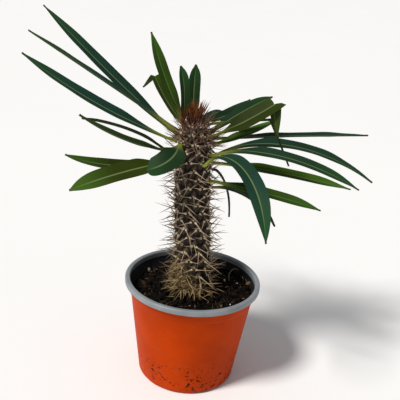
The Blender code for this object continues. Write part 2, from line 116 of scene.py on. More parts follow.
# Spines: a pair on each tubercle and some round the growing tip, then the finer ones
SPINE_TURNS = (0.0, 180.0)
SPINE_TILT = 50.0
SPINE_LENGTH = 13.5
SPINE_SEAT = 0.25
SPINE_APART = 1.5
SPINE_CLEARANCE = 1.2
SPINE_SAMPLES = (0.15, 0.3, 0.45, 0.6, 0.75, 0.9, 1.0)
SPINE_TRIES = 10
TURN_SPREAD = 50.0
TILT_SPREAD = 18.0
LENGTH_SPREAD = 0.25
TUFT_SPINES = 14
TUFT_LENGTH = 13.0
TUFT_RISES = (45.0, 80.0)
TUFT_TURN_SPREAD = 10.0
TUFT_RADIUS = 1.4
THIRD_SEAT = 0.6
THIRD_TURNS = (20.0, 160.0, -60.0, -120.0, 90.0)
THIRD_TURN_SPREAD = 30.0
THIRD_TILTS = (45.0, 74.0)
THIRD_LENGTHS = (8.0, 15.0)
CROWN_HEIGHTS = (188.0, 206.5)
CROWN_RISES = (5.0, 62.0)
CROWN_RISE_SPREAD = 22.0
CROWN_TURN_SPREAD = 25.0
CROWN_LENGTHS = (10.0, 17.0)
CROWN_CLEARANCE = 0.2
BRISTLE_PLACE = (-1.6, 0.0, -2.0)
BRISTLE_SPREAD = 4.6
BRISTLE_RISES = (62.0, 90.0)
BRISTLE_LENGTHS = (8.0, 17.0)
SEED = 7
SOIL_SEED = 21

# Straw round the foot: where it is thickest and how high it reaches there
STRAW_TURN = 215.0
STRAW_TOP = 102.0
STRAW_FALL = 0.28
STRAW_FOOT = 75.0
LOOSE_EVERY = 6
LOOSE_HEIGHTS = (73.0, 79.0)
STRAW_TONES = (0.0, 0.2, 0.5, 0.9, 1.0)

# Leaves
PETIOLE_WIDTH = 2.8
NECK = 5.0
SEAT_GAP = 0.6
BLADE_START = 0.05
BLADE_FULL = 0.38
TAPER_START = 0.6
TIP_WIDTH = 1.3
LINE_STEPS = 60
CREASE_REACH = 10.0
ON_CREASE = 0.01
PETIOLE_SECTION = (0.65, 0.95, 1.0, 1.1)
BLADE_SECTION = (0.3, 0.4, 0.15, 0.75)
LEAST_STEPS = 24
RIPPLES = (7.5, 4.1)

# Camera of the photograph: place in metres, turns in degrees, lens in millimetres
CAMERA_PLACE = (0.0, -0.4415, 0.3164)
CAMERA_FALL = 27.98
CAMERA_YAW = -0.04
CAMERA_PITCH = 6.91
CAMERA_ROLL = -4.94
CAMERA_LENS = 57.31
NEAREST = 0.01
FLOOR_REACH = 60000.0

# A crease is (place along the leaf, angle that it folds down, slant of the fold line across the blade).
# A higher taper gives a blunter tip.
Leaf = namedtuple(
    "Leaf", "name turn height heading rise fall sweep length width roll fold early crease taper",
    defaults=(0.0, 25.0, 1.0, None, 2.2))

LEAVES = (
    Leaf("leaf_left_1", 137, 190, 155, 22, 38, 5, 149, 11.5, -20, 15, 0.4),
    Leaf("leaf_left_2", 166, 196, 166, 26, 26, 0, 134, 9.0, 10, 20),
    Leaf("leaf_left_3", 182, 190, 188, 20, 38, 0, 122, 13.0, -20, 15, 1.3),
    Leaf("leaf_left_4", 197, 184, 202, 5, 34, -4, 75, 6.0, 50, 20, 0.8),
    Leaf("leaf_left_5", 167, 177, 172, 60, 0, 0, 76, 5.5, 30, 20, 0.4),
    Leaf("leaf_left_6", 183, 171, 190, -3, 24, 0, 79, 12.0, -20, 12, 2.5),
    Leaf("leaf_left_7", 212, 177, 212, -3, -17, -2, 81, 18.0, -20, 10, taper=3.0),
    Leaf("leaf_front_1", 242, 190, 270, -40, -18, -95, 35, 18.0, -28, 10, taper=8.0),
    Leaf("leaf_back_1", 151, 202, 150, 40, 68, 0, 70, 9.5, -30, 15, 0.4),
    Leaf("leaf_back_2", 122, 196, 135, 23, 58, -4, 71, 9.5, 0, 15, 1.0, (0.75, 90, 0)),
    Leaf("leaf_back_3", 196, 202, 140, 100, 66, 0, 43, 8.5, -15, 20, taper=4.0),
    Leaf("leaf_back_4", 106, 202, 100, 60, 100, 0, 43, 9.0, 0, 15, taper=4.0),
    Leaf("leaf_back_5", 76, 196, 75, 19, -25, -10, 74, 9.0, 0, 15),
    Leaf("leaf_back_6", 107, 184, 102, 10, -30, 0, 68, 11.0, 0, 15),
    Leaf("leaf_right_1", 31, 196, 30, 32, 20, 0, 58, 11.0, 15, 15, taper=3.5),
    Leaf("leaf_right_2", 61, 202, 50, -8, 28, 0, 58, 10.0, 15, 15),
    Leaf("leaf_right_3", 346, 196, 351, 27, 43, 4, 71, 15.0, 40, 8, 0.8, (0.7, 145, -30), 1.6),
    Leaf("leaf_right_4", 2, 190, 10, 16, 32, 0, 50, 9.0, 15, 15),
    Leaf("leaf_right_5", 47, 190, 25, 0, -2, 0, 147, 8.0, 10, 20),
    Leaf("leaf_right_6", 32, 177, 17, 56, -33, -6, 144, 12.0, 20, 15, 0.4),
    Leaf("leaf_right_7", 332, 184, 352, 44, -25, -2, 110, 11.0, 20, 15, 0.4),
    Leaf("leaf_right_8", 347, 177, 3, 0, -11, 0, 105, 11.0, 20, 15, 0.5),
    Leaf("leaf_right_9", 302, 177, 318, 105, -68, -30, 100, 14.0, 10, 15, 0.42),
    Leaf("leaf_right_10", 333, 164, 340, -1, -9, 1, 83, 10.5, 20, 15, 1.8),
    Leaf("leaf_right_11", 348, 158, 5, 30, -58, 0, 62, 8.5, 15, 15, 0.5),
    Leaf("leaf_right_12", 16, 202, 0, 10, 5, 0, 83, 3.0, 0, 20, 1.0, (0.55, 68, 0)),
    Leaf("dried_leaf", 3, 171, 25, 5, -88, 0, 46, 2.0, 0, 20, 0.3),
)
DRIED_LEAF = "dried_leaf"

# Material of each leaf with (lightness, bluish share). The lightness is partly the leaf's own colour and
# partly painted light and shade; the bluish share is a painted sky reflection that tints the green towards
# teal.
LEAF_TONES = {
    "leaf_deep": {
        "leaf_left_1": (0.9, 0.7), "leaf_left_2": (1.0, 0.8), "leaf_left_3": (1.1, 0.8),
        "leaf_left_4": (0.85, 0.3), "leaf_left_5": (0.6, 0.3), "leaf_front_1": (0.8, 0.1),
        "leaf_back_3": (1.0, 0.0), "leaf_back_4": (1.0, 0.0), "leaf_back_5": (0.8, 0.2),
        "leaf_back_6": (0.8, 0.2), "leaf_right_1": (0.8, 0.2), "leaf_right_2": (0.8, 0.2),
        "leaf_right_5": (0.9, 0.4), "leaf_right_6": (1.0, 0.5), "leaf_right_7": (1.0, 0.4),
        "leaf_right_9": (1.1, 0.7), "leaf_right_11": (0.8, 0.3)},
    "leaf_olive": {
        "leaf_left_6": (0.85, 0.0), "leaf_left_7": (1.0, 0.0), "leaf_back_2": (1.0, 0.0),
        "leaf_right_3": (0.75, 0.0), "leaf_right_12": (0.8, 0.0)},
    "leaf_bright": {
        "leaf_back_1": (0.75, 0.1), "leaf_right_4": (1.0, 0.0), "leaf_right_8": (1.0, 0.0),
        "leaf_right_10": (0.7, 0.1)},
    DRIED_LEAF: {DRIED_LEAF: (1.0, 0.0)},
}

# Leaves whose foot fades to orange-brown
YOUNG_LEAVES = ("leaf_back_3", "leaf_back_4")

# Rootlets on the peat, as points with their height over it
ROOTLETS = (
    ((30.5, 6.0, -0.5), (29.5, 16.0, 0.8), (29.0, 24.0, 2.0), (31.5, 30.0, 2.6), (35.5, 32.5, 2.2),
     (40.0, 28.5, 1.0), (43.0, 22.0, 0.8), (44.0, 14.0, -0.2)),
    ((28.5, -30.0, -0.3), (20.0, -33.5, 0.7), (12.0, -31.0, 0.8), (5.0, -34.5, -0.3)),
    ((-30.0, 8.0, -0.3), (-34.0, 0.0, 0.7), (-31.5, -8.0, 0.7), (-35.0, -15.0, -0.3)),
    ((-18.0, 30.0, -0.3), (-8.0, 33.0, 0.8), (3.0, 30.0, 0.9), (12.0, 35.0, -0.3)),
)
ROOTLET_RADIUS = 0.42

# What the photograph shows on the peat: bark bits as (x, y, height over it, size, tone), perlite as
# (x, y, size) and stones as (x, y, size, tone)
SEEN_CHIPS = ((44.5, 13.5, 1.4, 6.5, 1.0), (40.5, 19.0, 1.2, 4.5, 0.8))
SEEN_PERLITE = ((25.8, 16.8, 2.3), (35.7, 11.0, 1.7), (-20.0, -12.0, 1.2), (8.0, -34.0, 1.3),
                (-4.0, -40.0, 1.0), (30.0, -20.0, 1.4), (-14.0, 34.0, 1.6), (12.0, 28.0, 1.2),
                (-38.0, -10.0, 1.1))
SEEN_STONES = ((-36.6, 27.6, 4.2, 0.8), (-31.0, 30.0, 3.0, 0.5), (22.9, 5.6, 3.2, 0.25),
               (-8.0, -30.0, 2.2, 0.2), (16.0, -38.0, 2.4, 0.3), (-27.0, -24.0, 2.0, 0.35),
               (3.0, 38.0, 2.8, 0.5))
FINE_PERLITE = 26


# Small maths

def smooth_step(value, low, high):
    """Rise from 0 to 1 between low and high with a soft start and end."""
    t = min(max((value - low) / (high - low), 0.0), 1.0)
    return t * t * (3.0 - 2.0 * t)


def mix(first, second, share):
    """Blend two values."""
    return first + (second - first) * share


def unit(vector):
    """Scale a vector to length 1."""
    return vector / np.linalg.norm(vector)


def aim(heading, rise):
    """Unit vector at a heading round Z and an angle above level, in degrees."""
    h, r = math.radians(heading), math.radians(rise)
    return np.array((math.cos(r) * math.cos(h), math.cos(r) * math.sin(h), math.sin(r)))


def turned(vector, axis, angle):
    """A vector turned about an axis by an angle in degrees."""
    t = math.radians(angle)
    along = axis * np.dot(axis, vector) * (1.0 - math.cos(t))
    return vector * math.cos(t) + np.cross(axis, vector) * math.sin(t) + along


def waves(x, y, z, pitch, seed):
    """Smooth made-up unevenness between -1 and 1 from a few turned sine waves."""
    draw = random.Random(seed)
    total = 0.0
    for _ in range(5):
        way = aim(draw.uniform(0, 360), draw.uniform(-60, 60))
        way = way * (2 * math.pi / (pitch * draw.uniform(0.6, 1.5)))
        total = total + np.sin(way[0] * x + way[1] * y + way[2] * z + draw.uniform(0, 6.3))
    return total / 3.0


def circle(radius, sides, centre=(0.0, 0.0)):
    """Points (x, y) round a centre."""
    turns = [2 * math.pi * k / sides for k in range(sides)]
    return [(centre[0] + radius * math.cos(t), centre[1] + radius * math.sin(t)) for t in turns]


def dim(colour, share):
    """A colour with every part times a share."""
    return tuple(part * share for part in colour)


def full(colour):
    """Colour with alpha 1; a socket stays as it is."""
    return colour if isinstance(colour, Value) else (*colour[:3], 1.0)


# Node trees: a socket that takes part in Python expressions, and a tree that adds any node

class Value:
    """A socket of a node tree, with the arithmetic that materials and node groups use."""

    def __init__(self, tree, socket):
        self.tree = tree
        self.socket = socket

    def maths(self, operation, *others):
        """Add one Math node that works on this value and the others."""
        return self.tree.node("ShaderNodeMath", {"operation": operation}, dict(enumerate((self, *others))))

    def __add__(self, other):
        return self.maths("ADD", other)

    def __mul__(self, other):
        return self.maths("MULTIPLY", other)

    __radd__ = __add__
    __rmul__ = __mul__

    def __sub__(self, other):
        return self.maths("SUBTRACT", other)

    def __rsub__(self, other):
        return self.tree.node("ShaderNodeMath", {"operation": "SUBTRACT"}, {0: other, 1: self})

    def __truediv__(self, other):
        return self.maths("DIVIDE", other)

    def __pow__(self, other):
        return self.maths("POWER", other)

    def __abs__(self):
        return self.maths("ABSOLUTE")

    def sine(self):
        """Sine of this value in radians."""
        return self.maths("SINE")

    def at_most(self, limit):
        """The smaller of this value and a limit."""
        return self.maths("MINIMUM", limit)

    def step(self, low, high):
        """Rise from 0 to 1 between low and high, or fall where high is the smaller."""
        made = self.tree.node("ShaderNodeMapRange", {"interpolation_type": "SMOOTHSTEP"},
                              {"Value": self, "From Min": min(low, high), "From Max": max(low, high)})
        return made if low < high else 1.0 - made

    def outputs(self):
        """All outputs of the node that this socket belongs to."""
        return [Value(self.tree, socket) for socket in self.socket.node.outputs]


class Tree:
    """A node tree with one method that adds any node."""

    def __init__(self, tree):
        self.tree = tree

    def fill(self, node, sockets):
        """Give a node's sockets their values or links."""
        for name, value in sockets.items():
            if isinstance(value, Value):
                self.tree.links.new(value.socket, node.inputs[name])
            else:
                node.inputs[name].default_value = value

    def node(self, kind, settings=None, sockets=None, out=0):
        """Add a node, set its settings, fill its sockets and give back one output."""
        made = self.tree.nodes.new(kind)
        for name, value in (settings or {}).items():
            setattr(made, name, value)
        self.fill(made, sockets or {})
        return Value(self, made.outputs[out])

    def ramp(self, value, *stops):
        """Colour ramp over a value, with its stops as (place, colour)."""
        made = self.node("ShaderNodeValToRGB", None, {"Fac": value})
        elements = made.socket.node.color_ramp.elements
        elements.remove(elements[-1])
        elements[0].position, elements[0].color = stops[0][0], full(stops[0][1])
        for place, colour in stops[1:]:
            elements.new(place).color = full(colour)
        return made

    def blend(self, share, first, second, kind="MIX"):
        """Mix two colours by a share."""
        return self.node("ShaderNodeMix", {"data_type": "RGBA", "blend_type": kind, "clamp_factor": True},
                         {0: share, 6: full(first), 7: full(second)}, 2)

    def place(self):
        """Object coordinates in metres."""
        return self.node("ShaderNodeTexCoord", out="Object")

    def parts(self, vector):
        """The three parts of a vector."""
        return self.node("ShaderNodeSeparateXYZ", None, {0: vector}).outputs()

    def noise(self, vector, scale, detail=3.0, rough=0.55):
        """Noise value over a vector."""
        return self.node("ShaderNodeTexNoise", None,
                         {"Vector": vector, "Scale": scale, "Detail": detail, "Roughness": rough})

    def stretched(self, vector, scale):
        """The vector with each part scaled."""
        return self.node("ShaderNodeVectorMath", {"operation": "MULTIPLY"}, {0: vector, 1: scale})

    def attribute(self, name):
        """A number stored on the mesh."""
        return self.node("ShaderNodeAttribute", {"attribute_name": name}, out="Fac")

    def blade(self):
        """The leaf's own coordinates: across, then along."""
        return self.node("ShaderNodeUVMap", {"uv_map": "blade"})

    def bump(self, height, strength, distance):
        """Bump from a height in the given distance."""
        return self.node("ShaderNodeBump", None,
                         {"Height": height, "Strength": strength, "Distance": distance})


def material(name, paint, *given):
    """Make a material; paint gets its tree and what is given, and gives back the shader's sockets."""
    made = bpy.data.materials.new(name)
    made.use_nodes = True
    tree = Tree(made.node_tree)
    tree.fill(made.node_tree.nodes["Principled BSDF"], paint(tree, *given))
    return made


# Materials

def orange_plastic(t, looks):
    """Formed orange plastic: cloudy tone, fine scuffs, dust and soil stains low down."""
    place = t.place()
    z = t.parts(place)[2]
    cloud = t.noise(place, 28.0, 4.0)
    grain = t.noise(place, 900.0, 2.0)
    fine = t.noise(t.stretched(place, (1.0, 1.0, 0.25)), 420.0)
    scuff = t.noise(t.stretched(place, (1.0, 1.0, 9.0)), 60.0, 4.0, 0.7).step(0.62, 0.72)
    speck = t.noise(place, 430.0, 3.0, 0.6).step(0.565, 0.60) * z.step(0.034, 0.014)
    patch = t.noise(place, 70.0, 3.0, 0.6).step(0.44, 0.54)
    smear = t.noise(t.stretched(place, (1.0, 1.0, 0.4)), 140.0, 5.0, 0.7).step(0.56, 0.72)
    dirt = ((speck * patch + smear * z.step(0.012, 0.002) * 0.8) * looks.dirt).at_most(1.0)
    dust = t.noise(place, 160.0, 5.0, 0.65).step(0.5, 0.8) * z.step(0.06, 0.0)
    colour = t.blend(cloud.step(0.35, 0.7), looks.orange, dim(looks.orange, 0.82))
    colour = t.blend(scuff * 0.15, colour, looks.scuff)
    colour = t.blend(dust * 0.35, colour, looks.dust)
    colour = t.blend(dirt, colour, looks.soil_stain)
    return {"Base Color": colour, "Specular IOR Level": 0.04,
            "Roughness": (0.42 + cloud * 0.12 + dirt * 0.4 + scuff * 0.1).at_most(1.0),
            "Normal": t.bump(grain * 0.25 + fine * 0.4 + dirt * 0.8, 0.35, 0.0003)}


def rim_plastic(t, looks):
    """Light grey rolled rim with faint streaks and crumbs of soil."""
    place = t.place()
    cloud = t.noise(place, 55.0, 4.0)
    speck = t.noise(place, 700.0).step(0.66, 0.72) * t.noise(place, 90.0).step(0.52, 0.62)
    colour = t.blend(cloud.step(0.3, 0.7), looks.rim, dim(looks.rim, 0.72))
    return {"Base Color": t.blend(speck, colour, looks.soil_stain), "Specular IOR Level": 0.4,
            "Roughness": 0.3 + cloud * 0.2 + speck * 0.4,
            "Normal": t.bump(t.noise(place, 500.0), 0.2, 0.0002)}


def inner_plastic(t, looks):
    """Dark inner face, the plastic's own dark tone darkened further as painted shade, with a dull film of
    dried water and soil marks above the peat.
    """
    place = t.place()
    film = t.noise(t.stretched(place, (1.0, 1.0, 0.3)), 150.0, 5.0, 0.65).step(0.45, 0.75)
    tide = (t.parts(place)[2] + t.noise(place, 45.0, 4.0) * 0.006).step(0.079, 0.073)
    # The inner colour is dark plastic darkened further as painted shade
    colour = t.blend(film * 0.5, looks.inside, looks.film)
    colour = t.blend(tide * t.noise(place, 380.0, 4.0).step(0.42, 0.6), colour, looks.soil_stain)
    return {"Base Color": colour, "Roughness": 0.38 + film * 0.3 + tide * 0.25, "Specular IOR Level": 0.3,
            "Normal": t.bump(film + tide * 0.6, 0.3, 0.0003)}


def peat(t, looks):
    """Dark peat between the crumbs."""
    place = t.place()
    lump = t.noise(place, 260.0, 6.0, 0.7)
    fine = t.noise(place, 1500.0, 4.0, 0.7)
    damp = t.noise(place, 40.0).step(0.4, 0.7)
    colour = t.ramp(lump * 0.6 + fine * 0.4, (0.3, dim(looks.peat, 0.35)), (0.52, looks.peat),
                    (0.72, looks.crumb))
    return {"Base Color": t.blend(damp * 0.5, colour, dim(looks.peat, 0.4)), "Roughness": 1.0,
            "Specular IOR Level": 0.1, "Normal": t.bump(lump + fine * 0.5, 0.9, 0.0015)}


def crumbs(t, dark, light, rough=0.95):
    """Loose bits whose tone runs from dark to light by the number stored on each."""
    grain = t.noise(t.place(), 1800.0, 3.0, 0.7)
    colour = t.blend((t.attribute("tone") * 0.75 + grain * 0.35).step(0.25, 1.0), dark, light)
    return {"Base Color": colour, "Roughness": rough, "Specular IOR Level": 0.15,
            "Normal": t.bump(grain, 0.7, 0.0005)}


def bark(t, looks):
    """Grey-brown skin, near black in the grooves as painted shade, with green-grey bloom and fine cracks on
    the faces.
    """
    place = t.place()
    x, y, z = t.parts(place)
    face = t.attribute("face")
    cloud = t.noise(place, 190.0, 5.0, 0.65)
    fine = t.noise(place, 900.0, 5.0, 0.7)
    streak = t.noise(t.stretched(place, (1.0, 1.0, 0.22)), 700.0, 4.0, 0.65)
    corky = (z + x * 1.6 + y * 0.6 + cloud * 0.030).step(0.112, 0.072)
    # Painted shade: the grooves between the tubercles go near black
    colour = t.blend(face.step(0.15, 0.8), looks.groove, looks.bark)
    for share, over in ((cloud.step(0.48, 0.68) * face * 0.75, looks.bloom),
                        (z.step(0.150, 0.195) * face * 0.45, looks.young_bark),
                        (streak.step(0.56, 0.7) * face * 0.5, looks.streak),
                        (fine.step(0.60, 0.70) * 0.8, dim(looks.groove, 0.4)),
                        (t.attribute("areole") * 0.8, looks.areole),
                        (corky * fine.step(0.40, 0.58) * 0.8, looks.cork)):
        colour = t.blend(share, colour, over)
    return {"Base Color": colour, "Roughness": 0.62 + cloud * 0.3, "Specular IOR Level": 0.2,
            "Normal": t.bump(cloud * 0.5 + streak * 0.35 + fine * 0.3, 0.7, 0.0009)}


def spine_horn(t, looks):
    """Horny spines: straw at the foot, grey tan up the stem, red-brown at the crown, with pale bases."""
    place = t.place()
    along = t.attribute("along")
    grain = t.noise(place, 1400.0)
    high = (t.parts(place)[2] - 0.060) / 0.160
    shaft = t.ramp(high, (0.05, looks.straw), (0.35, looks.spine), (0.70, looks.spine),
                   (0.86, looks.crown_spine))
    base = t.ramp(high, (0.05, looks.straw), (0.4, looks.spine_base), (0.8, looks.spine_base),
                  (1.0, looks.crown_spine))
    colour = t.blend(along.step(0.04, 0.22), base, shaft)
    for share in (along.step(0.6, 1.0) * 0.7, (1.0 - t.attribute("tone")) * 0.55,
                  grain.step(0.5, 0.75) * 0.25):
        colour = t.blend(share, colour, looks.spine_tip)
    return {"Base Color": colour, "Roughness": 0.42 + grain * 0.2, "Specular IOR Level": 0.3,
            "Normal": t.bump(grain, 0.25, 0.0002)}


def bristle(t, base, tip):
    """Soft bristles whose colour runs from base to tip, in warmer and greyer clumps."""
    clump = t.noise(t.place(), 260.0, 2.0).step(0.45, 0.65)
    colour = t.blend(t.attribute("along").step(0.2, 0.9), base, tip)
    colour = t.blend(clump * 0.6, colour, (base[0] * 0.62, base[1] * 0.42, base[2] * 0.30))
    colour = t.blend((1.0 - t.attribute("tone")) * 0.95, colour, dim(base, 0.10))
    return {"Base Color": colour, "Roughness": 0.6, "Specular IOR Level": 0.2}


def leaf_skin(t, upper, tip, looks):
    """Leathery leaf: satin upper side with pale midrib and feather veins, dull pale underside, a painted sky
    reflection in its bluish share and painted light and shade in its lightness.
    """
    place = t.place()
    across, along, _ = t.parts(t.blade())
    beneath, tone = t.attribute("under"), t.attribute("tone")
    out = abs(across - 0.5) * 2.0
    cloud = t.noise(place, 60.0, 4.0)
    fine = t.noise(place, 420.0, 4.0, 0.6)
    lanes = ((along * 46.0 - out * 2.4 + t.noise(place, 120.0, 2.0) * 0.7) * (2.0 * math.pi)).sine()
    veins = lanes.step(0.72, 1.0) * out.step(0.06, 0.2) * out.step(0.99, 0.82)
    rib = out.step(0.10, 0.04)
    # Painted sky reflection: the leaf's bluish share tints its green towards teal
    colour = t.blend(t.attribute("sky_reflection"), upper, (upper[0] * 0.55, upper[1] * 1.05, upper[2] * 2.6 + 0.01))
    for share, over in ((cloud.step(0.35, 0.7) * 0.45, dim(upper, 0.62)),
                        (along.step(0.55, 1.0) * 0.65, tip),
                        (beneath * 0.7, looks.under),
                        (veins * 0.10, looks.vein),
                        (rib * 0.75 * (1.0 - along.step(0.7, 1.0) * 0.6), looks.vein),
                        (along.step(0.24, 0.04) * 0.85, looks.petiole),
                        (t.attribute("young") * along.step(0.42, 0.12), looks.young_foot),
                        (out.step(0.95, 1.0) * 0.3, looks.margin),
                        (along.step(0.985, 1.0) * 0.8, looks.dry_tip)):
        colour = t.blend(share, colour, over)
    # Per-leaf lightness, partly the leaf's own colour and partly painted light and shade, multiplies the
    # colour
    shade = t.node("ShaderNodeCombineColor", None, {0: tone, 1: tone, 2: tone})
    return {"Base Color": t.blend(1.0, colour, shade, "MULTIPLY"), "Specular IOR Level": 0.07,
            "Roughness": 0.40 + beneath * 0.2 + cloud * 0.12 + fine * 0.1,
            "Normal": t.bump(veins * -0.18 + fine * 0.25 + rib * 0.3, 0.3, 0.0005)}


def dead_leaf_skin(t, looks):
    """Shrivelled leaf: dull near-black brown with long wrinkles."""
    wrinkle = t.noise(t.stretched(t.blade(), (14.0, 2.0, 1.0)), 3.0, 4.0)
    cloud = t.noise(t.place(), 300.0, 4.0)
    colour = t.blend(wrinkle.step(0.4, 0.65), looks.dead, dim(looks.dead, 2.4))
    return {"Base Color": t.blend(cloud.step(0.5, 0.75) * 0.4, colour, looks.dead_patch),
            "Roughness": 0.62 + cloud * 0.25, "Normal": t.bump(wrinkle, 0.8, 0.0006)}


def studio_floor(t, looks):
    """Plain pale floor with the faintest unevenness."""
    return {"Base Color": t.blend(t.noise(t.place(), 3.0, 2.0), looks.floor, dim(looks.floor, 0.97)),
            "Roughness": 0.85}


# Meshes

def add_mesh(name, points, faces, materials=(), zones=None):
    """Make an object from points in millimetres, with its materials and each face's place among them."""
    mesh = bpy.data.meshes.new(name)
    mesh.from_pydata((np.asarray(points, dtype=float) * MM).tolist(), [], faces)
    for each in materials:
        mesh.materials.append(each)
    if zones is not None:
        mesh.polygons.foreach_set("material_index", zones)
    mesh.shade_smooth()
    mesh.update()
    made = bpy.data.objects.new(name, mesh)
    bpy.context.scene.collection.objects.link(made)
    return made


def declare(made, node=None):
    """Let a finished piece ride on the body, and hide its CAD node."""
    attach(made, "root")
    if node:
        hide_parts(node)


def store(piece, name, values, domain="POINT"):
    """Store a number per point or per face on a piece."""
    made = piece.data.attributes.new(name, "FLOAT", domain)
    made.data.foreach_set("value", np.asarray(values, dtype=np.float32))


def plain_mesh(piece):
    """Replace a piece's mesh by what its modifiers make, and remove them."""
    graph = bpy.context.evaluated_depsgraph_get()
    result = bpy.data.meshes.new_from_object(piece.evaluated_get(graph), depsgraph=graph)
    piece.modifiers.clear()
    piece.data = result


def mark_sharp(piece, angle):
    """Shade smooth with edges over the angle kept sharp."""
    piece.data.shade_smooth()
    piece.data.set_sharp_from_angle(angle=math.radians(angle))


def ring_faces(rows, sides):
    """Quads between rings of equal count."""
    return [(row * sides + side, row * sides + (side + 1) % sides,
             (row + 1) * sides + (side + 1) % sides, (row + 1) * sides + side)
            for row in range(rows - 1) for side in range(sides)]


def closed_faces(rows, sides):
    """Quads between rings of equal count, with a cap at each end."""
    last = (rows - 1) * sides
    return ring_faces(rows, sides) + [tuple(reversed(range(sides))), tuple(range(last, last + sides))]


def arc(centre, radius, start, end, steps):
    """Points of an arc in a half section, in degrees from +R towards +Z."""
    turns = [math.radians(mix(start, end, k / steps)) for k in range(steps + 1)]
    return [(centre[0] + radius * math.cos(t), centre[1] + radius * math.sin(t)) for t in turns]


# Pot

def wall_radius(height):
    """Outer radius of the pot's straight wall at a height, below the stacking step."""
    share = (height - BASE_CORNER) / (POT_HEIGHT - BASE_CORNER)
    return mix(BASE_RADIUS, WALL_TOP_RADIUS - STEP_OUT, share)


def pot_floor_radius():
    """Radius of the pot's flat inner floor."""
    return BASE_RADIUS - WALL - FOOT_WIDTH


def foot_inner_radius():
    """Inner radius of the foot ring."""
    return BASE_RADIUS - BASE_ROUND - FOOT_WIDTH


def pot_section():
    """Fine half section of the pot as (radius, height, zone), zone 0 outside, 1 rim, 2 inside."""
    foot = foot_inner_radius()
    lip = POT_HEIGHT - RIM_DEPTH
    step_low = wall_radius(STEP_HEIGHT)
    step_top = (step_low + STEP_OUT, STEP_HEIGHT + STEP_SLOPE)
    outside = [(foot - FOOT_DRAFT, FOOT_HEIGHT), (foot - 0.3, 0.5), (foot + 0.2, 0.0)]
    outside += [(BASE_RADIUS - BASE_ROUND * (1 - math.sin(math.radians(t))),
                 BASE_CORNER * (1 - math.cos(math.radians(t)))) for t in range(0, 91, 15)]
    outside += [(wall_radius(h), h) for h in (4.6, 5.4, 6.2)]
    outside += [(wall_radius(h) - DENT, h) for h in (6.8, 7.2)]
    outside += [(wall_radius(h), h) for h in (7.8, 9.0, *range(12, 68, 4), 68.4, STEP_HEIGHT - 0.1)]
    outside += [(step_low + 0.08, STEP_HEIGHT + 0.1), (step_top[0] - DENT, STEP_HEIGHT + 0.9), step_top]
    outside += [(mix(step_top[0], WALL_TOP_RADIUS, k / 4), mix(step_top[1], lip, k / 4)) for k in range(1, 5)]
    rim = [(WALL_TOP_RADIUS + 0.9, lip - 0.02), (RIM_RADIUS - 0.6, lip)]
    rim += arc((RIM_RADIUS - 0.7, lip + 0.7), 0.7, -70, 0, 4)
    rim += arc((RIM_RADIUS - 1.3, POT_HEIGHT - 1.3), 1.3, 0, 90, 6)
    rim += arc((RIM_INNER_RADIUS + 1.2, POT_HEIGHT - 1.2), 1.2, 90, 180, 6)
    rim += [(RIM_INNER_RADIUS, lip + 0.6)]
    inside = [(RIM_INNER_RADIUS, lip), (RIM_INNER_RADIUS, lip - 0.5)]
    inside += [(step_top[0] - WALL, step_top[1]), (step_low - WALL, STEP_HEIGHT - 0.4)]
    inside += [(wall_radius(h) - WALL, h) for h in (66.0, 60.0, 45.0, 30.0, 15.0, FOOT_HEIGHT * 2)]
    inside += [(pot_floor_radius(), FOOT_HEIGHT + WALL)]
    return [(*place, zone) for zone, part in enumerate((outside, rim, inside)) for place in part]


def lug_share(turn):
    """How far a turn, in degrees, is off the lugs: 0 on a lug, 1 between them."""
    pitch = 360.0 / LUGS
    off = abs((turn - pitch / 12 + pitch / 2) % pitch - pitch / 2)
    return smooth_step(off, pitch / 9, pitch / 4.2)


def build_pot(looks):
    """Turn the pot finely, shape its foot lugs and cut its drain holes."""
    sides, section = looks.sides, pot_section()
    rows = len(section)
    points, faces = [], ring_faces(rows, sides)
    zones = [section[row][2] for row in range(rows - 1) for _ in range(sides)]
    for radius, height, _ in section:
        between = mix(LUG_HEIGHT, height, height / BASE_CORNER)
        shaped = radius > foot_inner_radius() - 0.5 and height < BASE_CORNER
        points += [(x, y, mix(height, between, lug_share(360.0 * side / sides)) if shaped else height)
                   for side, (x, y) in enumerate(circle(radius, sides))]
    for start, height, zone in ((0, FOOT_HEIGHT, 0), ((rows - 1) * sides, FOOT_HEIGHT + WALL, 2)):
        points.append((0.0, 0.0, height))
        for side in range(sides):
            pair = (start + side, start + (side + 1) % sides)
            faces.append((len(points) - 1, *(pair if zone else reversed(pair))))
            zones.append(zone)
    materials = [material(name, paint, looks) for name, paint in (
        ("orange_plastic", orange_plastic), ("rim_plastic", rim_plastic), ("inner_plastic", inner_plastic))]
    pot = add_mesh("pot_shell", points, faces, materials, zones)
    cut_drains(pot)
    mark_sharp(pot, 40.0)
    declare(pot, "pot")


def cut_drains(pot):
    """Cut the round drain holes through the floor."""
    points, faces = [], []
    for place in circle(DRAIN_CIRCLE, DRAIN_HOLES):
        ring = circle(DRAIN_RADIUS, DRAIN_SIDES, place)
        faces += [tuple(len(points) + k for k in face) for face in closed_faces(2, DRAIN_SIDES)]
        points += [(x, y, height) for height in (FOOT_HEIGHT - WALL, FOOT_HEIGHT + WALL * 2) for x, y in ring]
    cutter = add_mesh("drain_cutter", points, faces)
    modifier = pot.modifiers.new("Drains", "BOOLEAN")
    modifier.operation, modifier.object = "DIFFERENCE", cutter
    plain_mesh(pot)
    bpy.data.objects.remove(cutter, do_unlink=True)


# Stem

def soil_height(x, y):
    """Height of the loose soil: uneven crumbs, heaped on the right."""
    heap = SOIL_HEAP * smooth_step(x, HEAP_START, HEAP_END)
    bumps = sum(share * math.sin(across * x + along * y + start)
                for share, across, along, start in SOIL_WAVES)
    return SOIL_LEVEL + heap + SOIL_ROUGHNESS * bumps


